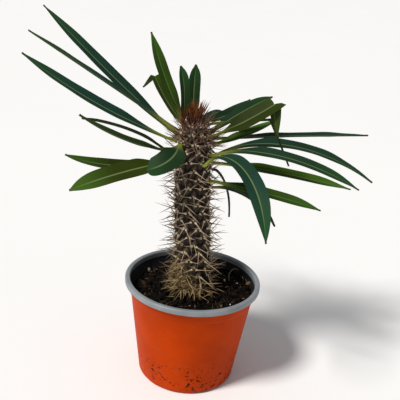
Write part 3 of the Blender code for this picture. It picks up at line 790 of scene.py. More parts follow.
def stem_radius(height):
    """Radius of the stem between its tubercles."""
    heights, radii = zip(*STEM_PROFILE)
    return float(np.interp(height, heights, radii))


def stem_centre(height):
    """The stem's axis: upright in the soil, then leaning to the left."""
    return np.array((STEM_FOOT_X + STEM_LEAN * smooth_step(height, LEAN_START, LEAN_END), 0.0, height))


def skin_profile():
    """Heights and radii of the stem against the distance up its skin."""
    distance = [0.0]
    for (low, wide), (high, narrow) in zip(STEM_PROFILE, STEM_PROFILE[1:]):
        distance.append(distance[-1] + math.hypot(high - low, narrow - wide))
    heights, radii = zip(*STEM_PROFILE)
    return distance, heights, radii


def skin_point(row, column, raised=0.0):
    """A point of the stem's skin by row and column of the net, raised by a share of the lift."""
    distance, heights, radii = skin_profile()
    up = (row + 1) * ROW_RISE
    height = float(np.interp(up, distance, heights))
    radius = float(np.interp(up, distance, radii))
    lift = raised * TUBERCLE_LIFT * min(1.0, radius / FULL_LIFT_RADIUS)
    out = aim(360.0 * (column + SPIRAL * row) / COLUMNS, 0.0)
    return stem_centre(height) + out * (radius + lift)


def tubercle_rows():
    """Number of whole rows of tubercles up to the growing tip."""
    return int(skin_profile()[0][-1] / ROW_RISE) - 1


def tubercles():
    """Row and column of the middle of each tubercle, from the soil to the tip."""
    return [(row, column + 0.5 + 0.5 * (row % 2))
            for row in range(tubercle_rows()) for column in range(COLUMNS)]


def tubercle_corners(row, column):
    """The four corners of a tubercle's raised face: right, top, left, bottom."""
    return [skin_point(row, column + TUBERCLE_WIDE, 1.0), skin_point(row + TUBERCLE_TALL, column, 1.0),
            skin_point(row, column - TUBERCLE_WIDE, 1.0), skin_point(row - TUBERCLE_TALL, column, 1.0)]


def tubercle_seat(row, column):
    """Middle and outward direction of a tubercle's raised face."""
    right, top, left, bottom = tubercle_corners(row, column)
    return (right + top + left + bottom) / 4, unit(np.cross(right - left, top - bottom))


def nearest_tubercle(turn, height, taken):
    """The free tubercle nearest to a turn round the stem, in degrees, and a height."""
    goal = stem_centre(height) + aim(turn, 0.0) * stem_radius(height)

    def distance(place):
        return np.linalg.norm(tubercle_seat(*place)[0] - goal)

    found = min((place for place in tubercles() if place not in taken), key=distance)
    taken.append(found)
    return found


def lozenge(row, column):
    """Distance from the middle of the nearest lozenge, 0 to 1 at its border, and the height in it."""
    found = []
    for near in range(math.floor(row) - 1, math.floor(row) + 3):
        across = (column - 0.5 * (near % 2)) % 1.0 - 0.5
        found.append((abs(across) / 0.5 + abs(row - near), row - near))
    return min(found, key=lambda each: each[0])


def build_stem(looks):
    """Skin of the stem: a fine net of lozenge tubercles with a cushion under each spine group."""
    rows = tubercle_rows()
    around, along = COLUMNS * looks.columns_steps, rows * looks.row_steps
    points = [(x, y, ROOT_BOTTOM) for x, y in circle(stem_radius(ROOT_TOP), around, (STEM_FOOT_X, 0.0))]
    face, areole = [0.0] * around, [0.0] * around
    for step in range(along + 1):
        row = mix(-0.9, rows - 0.05, step / along)
        for k in range(around):
            column = COLUMNS * k / around - SPIRAL * row
            size, up = lozenge(row, column)
            top = 1.0 - smooth_step(size, FACE_FLAT, FACE_END)
            cushion = math.exp(-((size - CUSHION_PLACE) / CUSHION_WIDTH) ** 2) * smooth_step(up, 0.25, 0.6)
            x, y, z = skin_point(row, column)
            rough = waves(x, y, z, 5.0, 3) * 0.12 + waves(x, y, z, 2.2, 4) * 0.06
            raised = top * (0.82 + 0.12 * up) + cushion * 0.16 + rough * (0.3 + top)
            points.append(skin_point(row, column, min(raised, MOST_LIFT)))
            face.append(top)
            areole.append(min(1.0, cushion * 1.2) if up > 0.3 else 0.0)
    points.append(stem_centre(STEM_PROFILE[-1][0]))
    last = (along + 1) * around
    faces = ring_faces(along + 2, around)
    faces += [(len(points) - 1, last + k, last + (k + 1) % around) for k in range(around)]
    faces.append(tuple(reversed(range(around))))
    stem = add_mesh("stem_skin", points, faces, [material("bark", bark, looks)])
    store(stem, "face", face + [1.0])
    store(stem, "areole", areole + [0.0])
    declare(stem, "stem")


# Leaves

def leaf_line(leaf, seat, outward):
    """Points, directions and side directions along the middle of a leaf."""
    step = leaf.length / LINE_STEPS
    points, ways, sides = [seat + outward * SEAT_GAP], [], []
    for k in range(LINE_STEPS + 1):
        share = k / LINE_STEPS
        rise = mix(leaf.rise, leaf.fall, share ** leaf.early)
        heading = leaf.heading + leaf.sweep * share
        free = smooth_step(share * leaf.length, 0.0, NECK)
        way = unit(mix(outward, aim(heading, rise), free))
        level = aim(heading + 90.0, 0.0)
        ways.append(way)
        sides.append(unit(level - way * np.dot(level, way)))
        points.append(points[-1] + way * step)
    points.pop()
    return points, ways, sides


def fold_over(leaf, first, points, ways, sides):
    """Turn the line beyond a crease about the fold line, which slants across the blade."""
    place, angle, slant = leaf.crease
    hinge = points[first]
    tilt = math.radians(slant)
    across = blade_frame(leaf, place, ways[first], sides[first])[0]
    axis = across * math.cos(tilt) + ways[first] * math.sin(tilt)
    for k in range(first + 1, len(points)):
        points[k] = hinge + turned(points[k] - hinge, axis, angle)
        ways[k] = turned(ways[k], axis, angle)
        sides[k] = turned(sides[k], axis, angle)


def blade_frame(leaf, share, way, side):
    """Across and upward directions of a leaf with its roll."""
    roll = math.radians(leaf.roll * blade_share(share))
    up = np.cross(way, side)
    return side * math.cos(roll) + up * math.sin(roll), up * math.cos(roll) - side * math.sin(roll)


def crease_shift(leaf, share, across, up):
    """How far a point near a crease moves along the leaf, so that both parts meet in the fold line."""
    if not leaf.crease:
        return 0.0
    place, angle, slant = leaf.crease
    gap = (share - place) * leaf.length
    near = max(0.0, 1.0 - abs(gap) / CREASE_REACH)
    tilt = math.radians(slant)
    bend = math.tan(math.radians(angle / 2)) / math.cos(tilt) * (1 if gap < ON_CREASE else -1)
    return near * (across * math.tan(tilt) + up * bend)


def blade_share(share):
    """How far a leaf has turned from petiole to blade, 0 to 1."""
    return smooth_step(share, BLADE_START, BLADE_FULL)


def leaf_width(leaf, share):
    """Width of a leaf at a share of its length."""
    width = mix(PETIOLE_WIDTH, leaf.width, blade_share(share))
    if share > TAPER_START:
        width *= 1.0 - ((share - TAPER_START) / (1.0 - TAPER_START)) ** leaf.taper
    return max(width, TIP_WIDTH)


def seated_leaves():
    """Every leaf with the middle and outward direction of its tubercle, taken in the table's order."""
    taken = []
    return [(leaf, *tubercle_seat(*nearest_tubercle(leaf.turn, leaf.height, taken))) for leaf in LEAVES]


def leaf_room():
    """Points along all leaves and the half width at each, which the spines stand clear of."""
    found = []
    for leaf, seat, outward in seated_leaves():
        points, ways, sides = leaf_line(leaf, seat, outward)
        if leaf.crease:
            fold_over(leaf, round(leaf.crease[0] * LINE_STEPS), points, ways, sides)
        found += [(point, leaf_width(leaf, k / LINE_STEPS) / 2) for k, point in enumerate(points)]
    return [np.array(each) for each in zip(*found)]


def fine_line(leaf, seat, outward, steps):
    """The leaf's line at finer steps, with a step on its crease."""
    shares = sorted({k / steps for k in range(steps + 1)} | ({leaf.crease[0]} if leaf.crease else set()))
    rows = np.linspace(0.0, 1.0, LINE_STEPS + 1)
    points, ways, sides = [np.stack([np.interp(shares, rows, part) for part in np.transpose(line)], axis=1)
                           for line in leaf_line(leaf, seat, outward)]
    points, ways, sides = list(points), [unit(way) for way in ways], [unit(side) for side in sides]
    if leaf.crease:
        fold_over(leaf, shares.index(leaf.crease[0]), points, ways, sides)
    return shares, points, ways, sides


def fine_section(leaf, share, half_steps):
    """Smooth section of a leaf as (side, up, across) points, top side from right to left, then beneath."""
    blade = blade_share(share)
    half = leaf_width(leaf, share) / 2
    fold = math.radians(leaf.fold * blade)
    edge, middle, groove, keel = [mix(low, high, blade) for low, high in zip(PETIOLE_SECTION, BLADE_SECTION)]
    top, low = [], []
    for k in range(-half_steps, half_steps + 1):
        place = -k / half_steps
        out = abs(place)
        reach, rise = place * half * math.cos(fold), out * half * math.sin(fold)
        upper = mix(groove, middle, smooth_step(out, 0.0, 0.22))
        upper += (edge - middle) * smooth_step(out, 0.45, 1.0)
        under = mix(keel, edge * 1.1, smooth_step(out, 0.0, 0.20 + 0.8 * (1.0 - blade)))
        rib = 0.22 * blade * math.exp(-(out / 0.07) ** 2)
        top.append((reach, rise + upper + rib, place))
        low.append((reach, rise - under, place))
    return top + low[::-1][1:-1]


def build_leaf(leaf, seat, outward, number, looks, materials):
    """One leaf with its blade, midrib and wavy margins, seated on its tubercle."""
    kind = next(kind for kind, tones in LEAF_TONES.items() if leaf.name in tones)
    # The lightness is partly painted light and shade; the bluish share is a painted sky reflection
    tone, sky_reflection = LEAF_TONES[kind][leaf.name]
    ripple_height = 0.0 if leaf.name == DRIED_LEAF else looks.ripple
    steps = max(LEAST_STEPS, int(leaf.length / looks.leaf_step))
    line = fine_line(leaf, seat, outward, steps)
    points = []
    for share, point, way, side in zip(*line):
        level, upward = blade_frame(leaf, share, way, side)
        slow, fast = [math.sin(share * leaf.length / pitch + number * k)
                      for k, pitch in enumerate(RIPPLES, 1)]
        ripple = (slow + fast * 0.4) * ripple_height * blade_share(share)
        section = fine_section(leaf, share, looks.half_steps)
        for u, v, place in section:
            v += ripple * place ** 2 * (1 if place > 0 else -0.7)
            points.append(point + level * u + upward * v + way * crease_shift(leaf, share, u, v))
    rings, count = len(line[0]), len(section)
    piece = add_mesh(leaf.name + "_blade", points, closed_faces(rings, count), [materials[kind]])
    mesh = piece.data
    corners = np.empty(len(mesh.loops), dtype=np.int32)
    mesh.loops.foreach_get("vertex_index", corners)
    across = np.tile([(1.0 + place) / 2 for _, _, place in section], rings)
    places = np.stack([across, np.repeat(line[0], count)], axis=1)[corners]
    mesh.uv_layers.new(name="blade").data.foreach_set("uv", places.ravel().astype(np.float32))
    top = 2 * looks.half_steps
    store(piece, "under", ([0.0] * top + [1.0] * (count - top)) * (rings - 1) + [0.0, 0.0], "FACE")
    # Each face keeps the leaf's lightness, which is partly painted light and shade, its share of painted sky
    # reflection and whether it is young
    for name, value in (("tone", tone), ("sky_reflection", sky_reflection), ("young", float(leaf.name in YOUNG_LEAVES))):
        store(piece, name, [value] * len(mesh.polygons), "FACE")
    mark_sharp(piece, 60.0)
    declare(piece, leaf.name)


def build_leaves(looks):
    """All leaves, with one material for each tone of green."""
    materials = {name: material(name, leaf_skin, tuple(colour), tip, looks) for name, colour, tip in (
        ("leaf_deep", looks.deep, looks.deep_tip), ("leaf_olive", looks.olive, looks.olive_tip),
        ("leaf_bright", looks.bright, looks.bright_tip))}
    materials[DRIED_LEAF] = material(DRIED_LEAF, dead_leaf_skin, looks)
    for number, (leaf, seat, outward) in enumerate(seated_leaves(), 1):
        build_leaf(leaf, seat, outward, number, looks, materials)


# Spines, crumbs and fibres by Geometry Nodes

class NodeGroup(Tree):
    """A geometry node group with named inputs, which works on points."""

    def __init__(self, name):
        super().__init__(bpy.data.node_groups.new(name, "GeometryNodeTree"))
        for way in ("INPUT", "OUTPUT"):
            self.tree.interface.new_socket("Geometry", in_out=way, socket_type="NodeSocketGeometry")
        self.named = {}
        self.source = self.tree.nodes.new("NodeGroupInput")

    def number(self, name, default, kind="NodeSocketFloat"):
        """Add a named input."""
        socket = self.tree.interface.new_socket(name, in_out="INPUT", socket_type=kind)
        socket.default_value = default
        self.named[name] = socket.identifier
        return Value(self, self.source.outputs[name])

    def given(self, name, kind="FLOAT"):
        """A number or vector stored on each point."""
        return self.node("GeometryNodeInputNamedAttribute", {"data_type": kind}, {"Name": name})

    def set_out(self, instance, rotation, scale, pick=False):
        """An instance on every point, made real."""
        cloud = self.node("GeometryNodeMeshToPoints", None, {"Mesh": Value(self, self.source.outputs[0])})
        grown = self.node("GeometryNodeInstanceOnPoints", None,
                          {"Points": cloud, "Instance": instance, "Pick Instance": pick, "Rotation": rotation,
                           "Scale": scale})
        return self.node("GeometryNodeRealizeInstances", None, {"Geometry": grown})

    def close(self, last, paint, smooth):
        """Give the result its shading and material, and link it to the group's output."""
        shaded = self.node("GeometryNodeSetShadeSmooth", None, {"Geometry": last, "Shade Smooth": smooth})
        painted = self.node("GeometryNodeSetMaterial", None, {"Geometry": shaded, "Material": paint})
        self.fill(self.tree.nodes.new("NodeGroupOutput"), {"Geometry": painted})

    def apply(self, piece, values):
        """Run the group on a piece with the given named inputs and keep the plain mesh."""
        modifier = piece.modifiers.new(self.tree.name, "NODES")
        modifier.node_group = self.tree
        for name, value in values.items():
            modifier[self.named[name]] = value
        plain_mesh(piece)


def needle_group(name, paint):
    """Group that grows a needle with a swollen base on every point, by the point's way and size."""
    g = NodeGroup(name)
    radius, bulb = g.number("Radius", 0.0005), g.number("Bulb", 1.6)
    segments, sides = g.number("Segments", 8, "NodeSocketInt"), g.number("Sides", 6, "NodeSocketInt")
    line = g.node("GeometryNodeCurvePrimitiveLine", {"mode": "POINTS"},
                  {"Start": (0, 0, 0), "End": (0, 0, 1)})
    fine = g.node("GeometryNodeResampleCurve", None, {"Curve": line, "Count": segments})
    along = g.node("GeometryNodeSplineParameter", out="Factor")
    kept = g.node("GeometryNodeStoreNamedAttribute", {"data_type": "FLOAT", "domain": "POINT"},
                  {"Geometry": fine, "Name": "along", "Value": along})
    taper = g.node("ShaderNodeMapRange", None, {"Value": along ** 1.7, "To Min": 1.0, "To Max": 0.08})
    root = g.node("ShaderNodeMapRange", {"interpolation_type": "SMOOTHSTEP"},
                  {"Value": along, "From Min": 0.01, "From Max": 0.17, "To Min": 1.0, "To Max": 0.0})
    profile = g.node("GeometryNodeCurvePrimitiveCircle", {"mode": "RADIUS"},
                     {"Resolution": sides, "Radius": 1.0})
    needle = g.node("GeometryNodeCurveToMesh", None,
                    {"Curve": kept, "Profile Curve": profile, "Scale": taper * (root * bulb + 1.0),
                     "Fill Caps": True})
    wide = g.given("thick") * radius
    scale = g.node("ShaderNodeCombineXYZ", None, {"X": wide, "Y": wide, "Z": g.given("size")})
    upright = g.node("FunctionNodeAlignRotationToVector", {"axis": "Z"},
                     {"Vector": g.given("way", "FLOAT_VECTOR")})
    spin = g.node("FunctionNodeRandomValue", {"data_type": "FLOAT"}, {2: 0.0, 3: 6.283, "Seed": 5}, 1)
    twist = g.node("FunctionNodeAxisAngleToRotation", None, {"Axis": (0, 0, 1), "Angle": spin})
    both = g.node("FunctionNodeRotateRotation", {"rotation_space": "LOCAL"},
                  {"Rotation": upright, "Rotate By": twist})
    g.close(g.set_out(needle, both, scale), paint, True)
    return g


def lump_group(name, paint, detail, smooth):
    """Group that sets one of four uneven lumps on every point, turned at random, by the point's size."""
    g = NodeGroup(name)
    rough, flat = g.number("Unevenness", 0.7), g.number("Flatness", 0.75)
    seed = g.number("Seed", 3, "NodeSocketInt")
    pieces = g.node("GeometryNodeJoinGeometry")
    for k in reversed(range(4)):
        ball = g.node("GeometryNodeMeshIcoSphere", None, {"Radius": 0.5, "Subdivisions": detail})
        moved = g.node("ShaderNodeVectorMath", {"operation": "ADD"},
                       {0: g.node("GeometryNodeInputPosition"), 1: (7.3 * k, 1.7 * k, 0.0)})
        noise = g.node("ShaderNodeTexNoise", None, {"Vector": moved, "Scale": 2.3}, "Color")
        centred = g.node("ShaderNodeVectorMath", {"operation": "SUBTRACT"}, {0: noise, 1: (0.5, 0.5, 0.5)})
        offset = g.node("ShaderNodeVectorMath", {"operation": "SCALE"}, {0: centred, "Scale": rough})
        lump = g.node("GeometryNodeSetPosition", None, {"Geometry": ball, "Offset": offset})
        g.fill(pieces.socket.node, {0: g.node("GeometryNodeGeometryToInstance", None, {0: lump})})
    tall = g.given("size") * flat
    scale = g.node("ShaderNodeCombineXYZ", None, {"X": g.given("size"), "Y": tall, "Z": tall})
    turn = g.node("FunctionNodeRandomValue", {"data_type": "FLOAT_VECTOR"},
                  {0: (0, 0, 0), 1: (6.28, 6.28, 6.28), "Seed": seed})
    g.close(g.set_out(pieces, turn, scale, True), paint, smooth)
    return g


def grow(name, needles, paint, slot, **values):
    """Grow needles, given as (root, way, size, thick, tone), by the needle group."""
    roots, ways, sizes, thick, tones = zip(*needles)
    piece = add_mesh(name, roots, [])
    made = piece.data.attributes.new("way", "FLOAT_VECTOR", "POINT")
    made.data.foreach_set("vector", np.array(ways, dtype=np.float32).ravel())
    store(piece, "size", [size * MM for size in sizes])
    store(piece, "thick", thick)
    store(piece, "tone", tones)
    needle_group(name + "_nodes", paint).apply(piece, values)
    declare(piece)


def strew(name, bits, paint, detail, smooth=False, **values):
    """Set loose bits, given as (place, size, tone), by the lump group."""
    places, sizes, tones = zip(*bits)
    piece = add_mesh(name, places, [])
    store(piece, "size", [size * MM for size in sizes])
    store(piece, "tone", tones)
    lump_group(name + "_nodes", paint, detail, smooth).apply(piece, values)
    declare(piece)


# Spines, straw and tuft

def leaning(outward, turn, tilt):
    """Direction that leans off the outward one, towards a turn round it, in degrees."""
    side = unit(np.cross((0.0, 0.0, 1.0), outward))
    up = np.cross(outward, side)
    t, b = math.radians(turn), math.radians(tilt)
    return unit(outward * math.cos(b) + (side * math.cos(t) + up * math.sin(t)) * math.sin(b))


def stem_surface(height, turn, off=0.0):
    """A point on the stem between its tubercles, or a little off it."""
    return stem_centre(height) + aim(turn, 0.0) * (stem_radius(height) + off)


def spine_is_clear(root, way, length, room, clearance=SPINE_CLEARANCE):
    """Whether a spine stays off every leaf and above the soil."""
    places, halves = room
    samples = np.array([root + way * length * share for share in SPINE_SAMPLES])
    if any(z < soil_height(x, y) + clearance for x, y, z in samples):
        return False
    near = np.linalg.norm(places[None, :, :] - samples[:, None, :], axis=2)
    return bool(np.all(near > halves[None, :] + clearance))


def first_clear(tries, room):
    """The first (root, way, length) of a few tries that stands clear, in a list, or an empty list."""
    for found in tries:
        if spine_is_clear(*found, room):
            return [found]
    return []


def spine_pairs(draw, room):
    """Root, way and length of the spines that the solids have, each turned until it stands clear."""
    found = []
    for row, column in tubercles():
        seat, outward = tubercle_seat(row, column)
        top = mix(seat, tubercle_corners(row, column)[1], SPINE_SEAT)
        for turn in SPINE_TURNS:
            root = top + leaning(outward, turn, 90.0) * SPINE_APART
            found += first_clear(((root, leaning(outward, turn + draw.uniform(-TURN_SPREAD, TURN_SPREAD),
                                                 SPINE_TILT + draw.uniform(-TILT_SPREAD, TILT_SPREAD)),
                                   SPINE_LENGTH * (1.0 + draw.uniform(-LENGTH_SPREAD, LENGTH_SPREAD)))
                                  for _ in range(SPINE_TRIES)), room)
    tip = stem_centre(STEM_PROFILE[-1][0])
    for k in range(TUFT_SPINES):
        turn = 360.0 * k / TUFT_SPINES + draw.uniform(-TUFT_TURN_SPREAD, TUFT_TURN_SPREAD)
        way = aim(turn, draw.uniform(*TUFT_RISES))
        size = TUFT_LENGTH * (1.0 + draw.uniform(-LENGTH_SPREAD, LENGTH_SPREAD))
        found += first_clear([(tip + aim(turn, 0.0) * TUFT_RADIUS, way, size)], room)
    return found


def third_spines(draw, room):
    """The third spine of each group, flatter than its pair."""
    found = []
    for row, column in tubercles():
        seat, outward = tubercle_seat(row, column)
        top = mix(seat, tubercle_corners(row, column)[1], THIRD_SEAT)
        for _ in range(SPINE_TRIES):
            turn = draw.choice(THIRD_TURNS) + draw.uniform(-THIRD_TURN_SPREAD, THIRD_TURN_SPREAD)
            way = leaning(outward, turn, draw.uniform(*THIRD_TILTS))
            size = draw.uniform(*THIRD_LENGTHS)
            if spine_is_clear(top, way, size, room):
                found.append((top, way, size))
                break
    return found


def crown_spines(draw, room, count):
    """Long thin spines that spread from the top of the stem."""
    found = []
    low, high = CROWN_HEIGHTS
    for _ in range(count * 4):
        height, turn = draw.uniform(low, high), draw.uniform(0.0, 360.0)
        rise = mix(*CROWN_RISES, (height - low) / (high - low))
        rise += draw.uniform(-CROWN_RISE_SPREAD, CROWN_RISE_SPREAD)
        way = aim(turn + draw.uniform(-CROWN_TURN_SPREAD, CROWN_TURN_SPREAD), rise)
        root, size = stem_surface(height, turn), draw.uniform(*CROWN_LENGTHS)
        if len(found) < count and spine_is_clear(root, way, size, room, CROWN_CLEARANCE):
            found.append((root, way, size))
    return found


def straw_fibres(draw, count):
    """Matted old spines round the foot, thickest on the left and in front, with a loose skirt on the peat."""
    found = []
    for k in range(count):
        loose = k % LOOSE_EVERY == 0
        turn = draw.gauss(235.0, 75.0) if loose else draw.gauss(222.0, 42.0)
        top = STRAW_TOP - abs(turn - STRAW_TURN) * STRAW_FALL
        height = draw.uniform(*LOOSE_HEIGHTS) if loose else mix(STRAW_FOOT, top, draw.random())
        root = stem_surface(height, turn, draw.uniform(0.6, 2.2))
        rise = draw.uniform(-40.0, 10.0) if loose else draw.uniform(-50.0, 65.0)
        size = draw.uniform(6.0, 12.0) if loose else draw.uniform(2.5, 6.5)
        way = aim(turn + draw.uniform(-35.0, 35.0) * (1.0 if loose else 2.2), rise)
        tip = root + way * size
        ground = soil_height(tip[0], tip[1]) + 0.4
        if tip[2] < ground:
            way = unit(np.array((tip[0], tip[1], ground)) - root)
        found.append((root, way, size))
    return found


def build_spines(looks):
    """Groups of three spines on every tubercle, the crown's long spines, the straw and the young tuft."""
    room = leaf_room()
    draw, spread = random.Random(SEED), random.Random(SEED + 1)
    needles = [(*each, spread.uniform(0.8, 1.1), spread.uniform(0.25, 1.0))
               for each in spine_pairs(draw, room)]
    needles += [(*each, spread.uniform(0.6, 0.9), spread.uniform(0.1, 0.9))
                for each in third_spines(spread, room)]
    needles += [(*each, spread.uniform(0.6, 0.85), spread.uniform(0.0, 0.8))
                for each in crown_spines(spread, room, looks.crown_count)]
    horn = material("spine_horn", spine_horn, looks)
    grow("spines", needles, horn, "bark", Radius=looks.radius, Bulb=looks.bulb, Segments=8)
    fibres = [(*each, spread.uniform(0.4, 1.1), spread.choice(STRAW_TONES))
              for each in straw_fibres(spread, looks.straw_count)]
    straw = material("straw", bristle, tuple(looks.straw), dim(looks.straw, 0.8))
    grow("straw", fibres, straw, "bark", Radius=looks.radius, Bulb=0.9, Segments=5)
    tip = stem_centre(STEM_PROFILE[-1][0]) + np.array(BRISTLE_PLACE)
    tuft = []
    for _ in range(looks.tuft_count):
        turn, rise = spread.uniform(0.0, 360.0), spread.uniform(*BRISTLE_RISES)
        root = tip + aim(turn, 0.0) * spread.uniform(0.0, BRISTLE_SPREAD)
        tuft.append((root, aim(turn, rise), spread.uniform(*BRISTLE_LENGTHS), spread.uniform(0.8, 1.5),
                     spread.uniform(0.4, 1.0)))
    red = material("young_tuft", bristle, tuple(looks.tuft), tuple(looks.tuft_tip))
    grow("young_tuft", tuft, red, "bark", Radius=looks.radius * 0.8, Bulb=0.6, Segments=6)


# Peat and what lies on it

def peat_bed(looks):
    """Peat surface with its uneven top, and the plain body below it."""
    outer = wall_radius(66.5) - WALL - SOIL_GAP
    hole = stem_radius(SOIL_LEVEL) + TUBERCLE_LIFT + 0.6
    points = [(x, y, height) for radius, height in (
        (pot_floor_radius() - SOIL_GAP, FOOT_HEIGHT + WALL + 0.3), (wall_radius(7.0) - WALL - SOIL_GAP, 7.3))
        for x, y in circle(radius, BED_SIDES)]
    for step in range(BED_RINGS + 1):
        share = step / BED_RINGS
        for x, y in circle(mix(outer, hole, share), BED_SIDES, (STEM_FOOT_X * share, 0.0)):
            rough = waves(x, y, 0.0, 4.0, 11) * 0.5 + waves(x, y, 0.0, 1.8, 12) * 0.35
            points.append((x, y, soil_height(x, y) + rough * smooth_step(step, 0, 3)))
    points += [(x, y, ROOT_BOTTOM - 0.3) for x, y in circle(hole, BED_SIDES, (STEM_FOOT_X, 0.0))]
    bed = add_mesh("peat_bed", points, closed_faces(len(points) // BED_SIDES, BED_SIDES),
                   [material("peat", peat, looks)])
    declare(bed, "soil")


def on_soil(draw, near, far):
    """A random place on the soil, off the stem and the pot's wall."""
    while True:
        x, y = draw.uniform(-far, far), draw.uniform(-far, far)
        if near < math.hypot(x - STEM_FOOT_X, y) and math.hypot(x, y) < far:
            return x, y


def above(x, y, height):
    """A place at a height over the soil."""
    return x, y, soil_height(x, y) + height


def rootlet(name, path, paint, sides=6):
    """A bent rootlet through a few points, thinner at both ends."""
    course = np.array([above(*place) for place in path])
    rows = np.linspace(0, len(course) - 1, len(course) * 6)
    line = np.stack([np.interp(rows, range(len(course)), part) for part in course.T], axis=1)
    for _ in range(6):
        line[1:-1] = (line[:-2] + line[1:-1] * 2 + line[2:]) / 4
    points = []
    for k, place in enumerate(line):
        way = unit(line[min(k + 1, len(line) - 1)] - line[max(k - 1, 0)])
        level = unit(np.cross(way, (0.13, 0.21, 1.0)))
        other = np.cross(way, level)
        share = min(max(k / (len(line) - 1), 0.04), 0.96)
        size = ROOTLET_RADIUS * (0.45 + 0.55 * math.sin(math.pi * share) ** 0.5)
        points += [place + level * u + other * v for u, v in circle(size, sides)]
    made = add_mesh(name, points, closed_faces(len(line), sides), [paint])
    store(made, "tone", [0.85] * len(points))
    store(made, "along", [0.5] * len(points))
    declare(made)


def build_soil(looks):
    """The peat bed with crumbs, lumps, perlite, stones, bark bits, fibres and rootlets on it."""
    peat_bed(looks)
    draw = random.Random(SOIL_SEED)
    dark = material("peat_crumbs", crumbs, dim(looks.peat, 0.5), looks.crumb)
    fine, lumps, chips = [], [], []
    for _ in range(looks.crumbs):
        place, size = on_soil(draw, 14.8, 45.8), draw.uniform(0.7, 1.9)
        fine.append((above(*place, size * 0.15), size, draw.random() ** 1.6))
    strew("peat_crumbs", fine, dark, 1, Unevenness=1.1, Flatness=0.75)
    for _ in range(looks.lumps):
        place, size = on_soil(draw, 15.5, 44.5), draw.uniform(1.8, 4.2)
        lumps.append((above(*place, size * 0.2), size, draw.random() ** 2.0 * 0.8))
    for _ in range(looks.mound):
        turn, off = math.radians(draw.uniform(0, 360)), draw.random() ** 1.3
        reach, size = mix(15.0, 27.0, off), draw.uniform(1.8, 3.8)
        up = size * 0.2 + draw.random() * mix(5.5, 0.5, off)
        place = above(STEM_FOOT_X + reach * math.cos(turn), reach * math.sin(turn), up)
        lumps.append((place, size, draw.random() ** 2.0 * 0.6))
    strew("peat_lumps", lumps, dark, 2, True, Unevenness=0.9, Flatness=0.7, Seed=8)
    for _ in range(looks.chips):
        place, size = on_soil(draw, 15.5, 45.0), draw.uniform(1.6, 4.5)
        chips.append((above(*place, 0.7), size, draw.random()))
    chips += [(above(x, y, up), size, tone) for x, y, up, size, tone in SEEN_CHIPS]
    brown = material("bark_bits", crumbs, looks.chip_dark, looks.chip_light)
    strew("bark_bits", chips, brown, 2, Unevenness=0.8, Flatness=0.35, Seed=4)
    white = [(above(x, y, size * 0.35), size, 1.0) for x, y, size in SEEN_PERLITE]
    white += [(above(*on_soil(draw, 15.5, 46.0), 0.3), draw.uniform(0.5, 0.9), draw.uniform(0.4, 1.0))
              for _ in range(FINE_PERLITE)]
    perlite = material("perlite", crumbs, looks.perlite_dark, looks.perlite_light)
    strew("perlite", white, perlite, 2, True, Unevenness=0.5, Flatness=0.85)
    stones = [(above(x, y, size * 0.25), size, tone) for x, y, size, tone in SEEN_STONES]
    grey = material("stones", crumbs, looks.stone_dark, looks.stone_light, 0.7)
    strew("stones", stones, grey, 3, True, Unevenness=0.35, Flatness=0.75)
    fibres = [(above(*on_soil(draw, 15.5, 42.0), 0.7), aim(draw.uniform(0, 360), draw.uniform(-8, 22)),
               draw.uniform(2.5, 9.0), draw.uniform(0.4, 1.3), draw.random()) for _ in range(looks.fibres)]
    fibre = material("peat_fibres", bristle, tuple(looks.fibre), looks.fibre_tip)
    grow("peat_fibres", fibres, fibre, "peat", Radius=0.00022, Bulb=0.2, Segments=5, Sides=4)
    root = material("rootlets", bristle, tuple(looks.root), looks.root)
    for k, path in enumerate(ROOTLETS, 1):
        rootlet(f"rootlet_{k}", path, root)


# Settings that a user would change

COLOUR = {"subtype": "COLOR", "size": 3, "min": 0.0, "max": 1.0}


class PotLooks(bpy.types.PropertyGroup):
    """Sizes and colours of the pot."""
    sides: IntProperty(name="Sides", description="Number of sides the pot is turned with",
                       default=192, min=48)
    orange: FloatVectorProperty(name="Orange", description="Outer wall", default=(0.50, 0.045, 0.0), **COLOUR)
    scuff: FloatVectorProperty(name="Scuff", description="Pale scuffs", default=(0.62, 0.15, 0.05), **COLOUR)
    dust: FloatVectorProperty(name="Dust", description="Dust low down", default=(0.30, 0.10, 0.035), **COLOUR)
    rim: FloatVectorProperty(name="Rim", description="Rolled rim", default=(0.26, 0.285, 0.305), **COLOUR)
    # Inner face: dark plastic, darkened further as painted shade
    inside: FloatVectorProperty(name="Inside", description="Inner face",
                                default=(0.012, 0.015, 0.020), **COLOUR)
    film: FloatVectorProperty(name="Film", description="Dried water on the inner face",
                              default=(0.040, 0.040, 0.042), **COLOUR)
    soil_stain: FloatVectorProperty(name="Soil stain", description="Soil marks",
                                    default=(0.022, 0.012, 0.008), **COLOUR)
    dirt: FloatProperty(name="Dirt", description="How strongly soil specks show", subtype="FACTOR",
                        default=1.0, min=0.0, max=1.0)


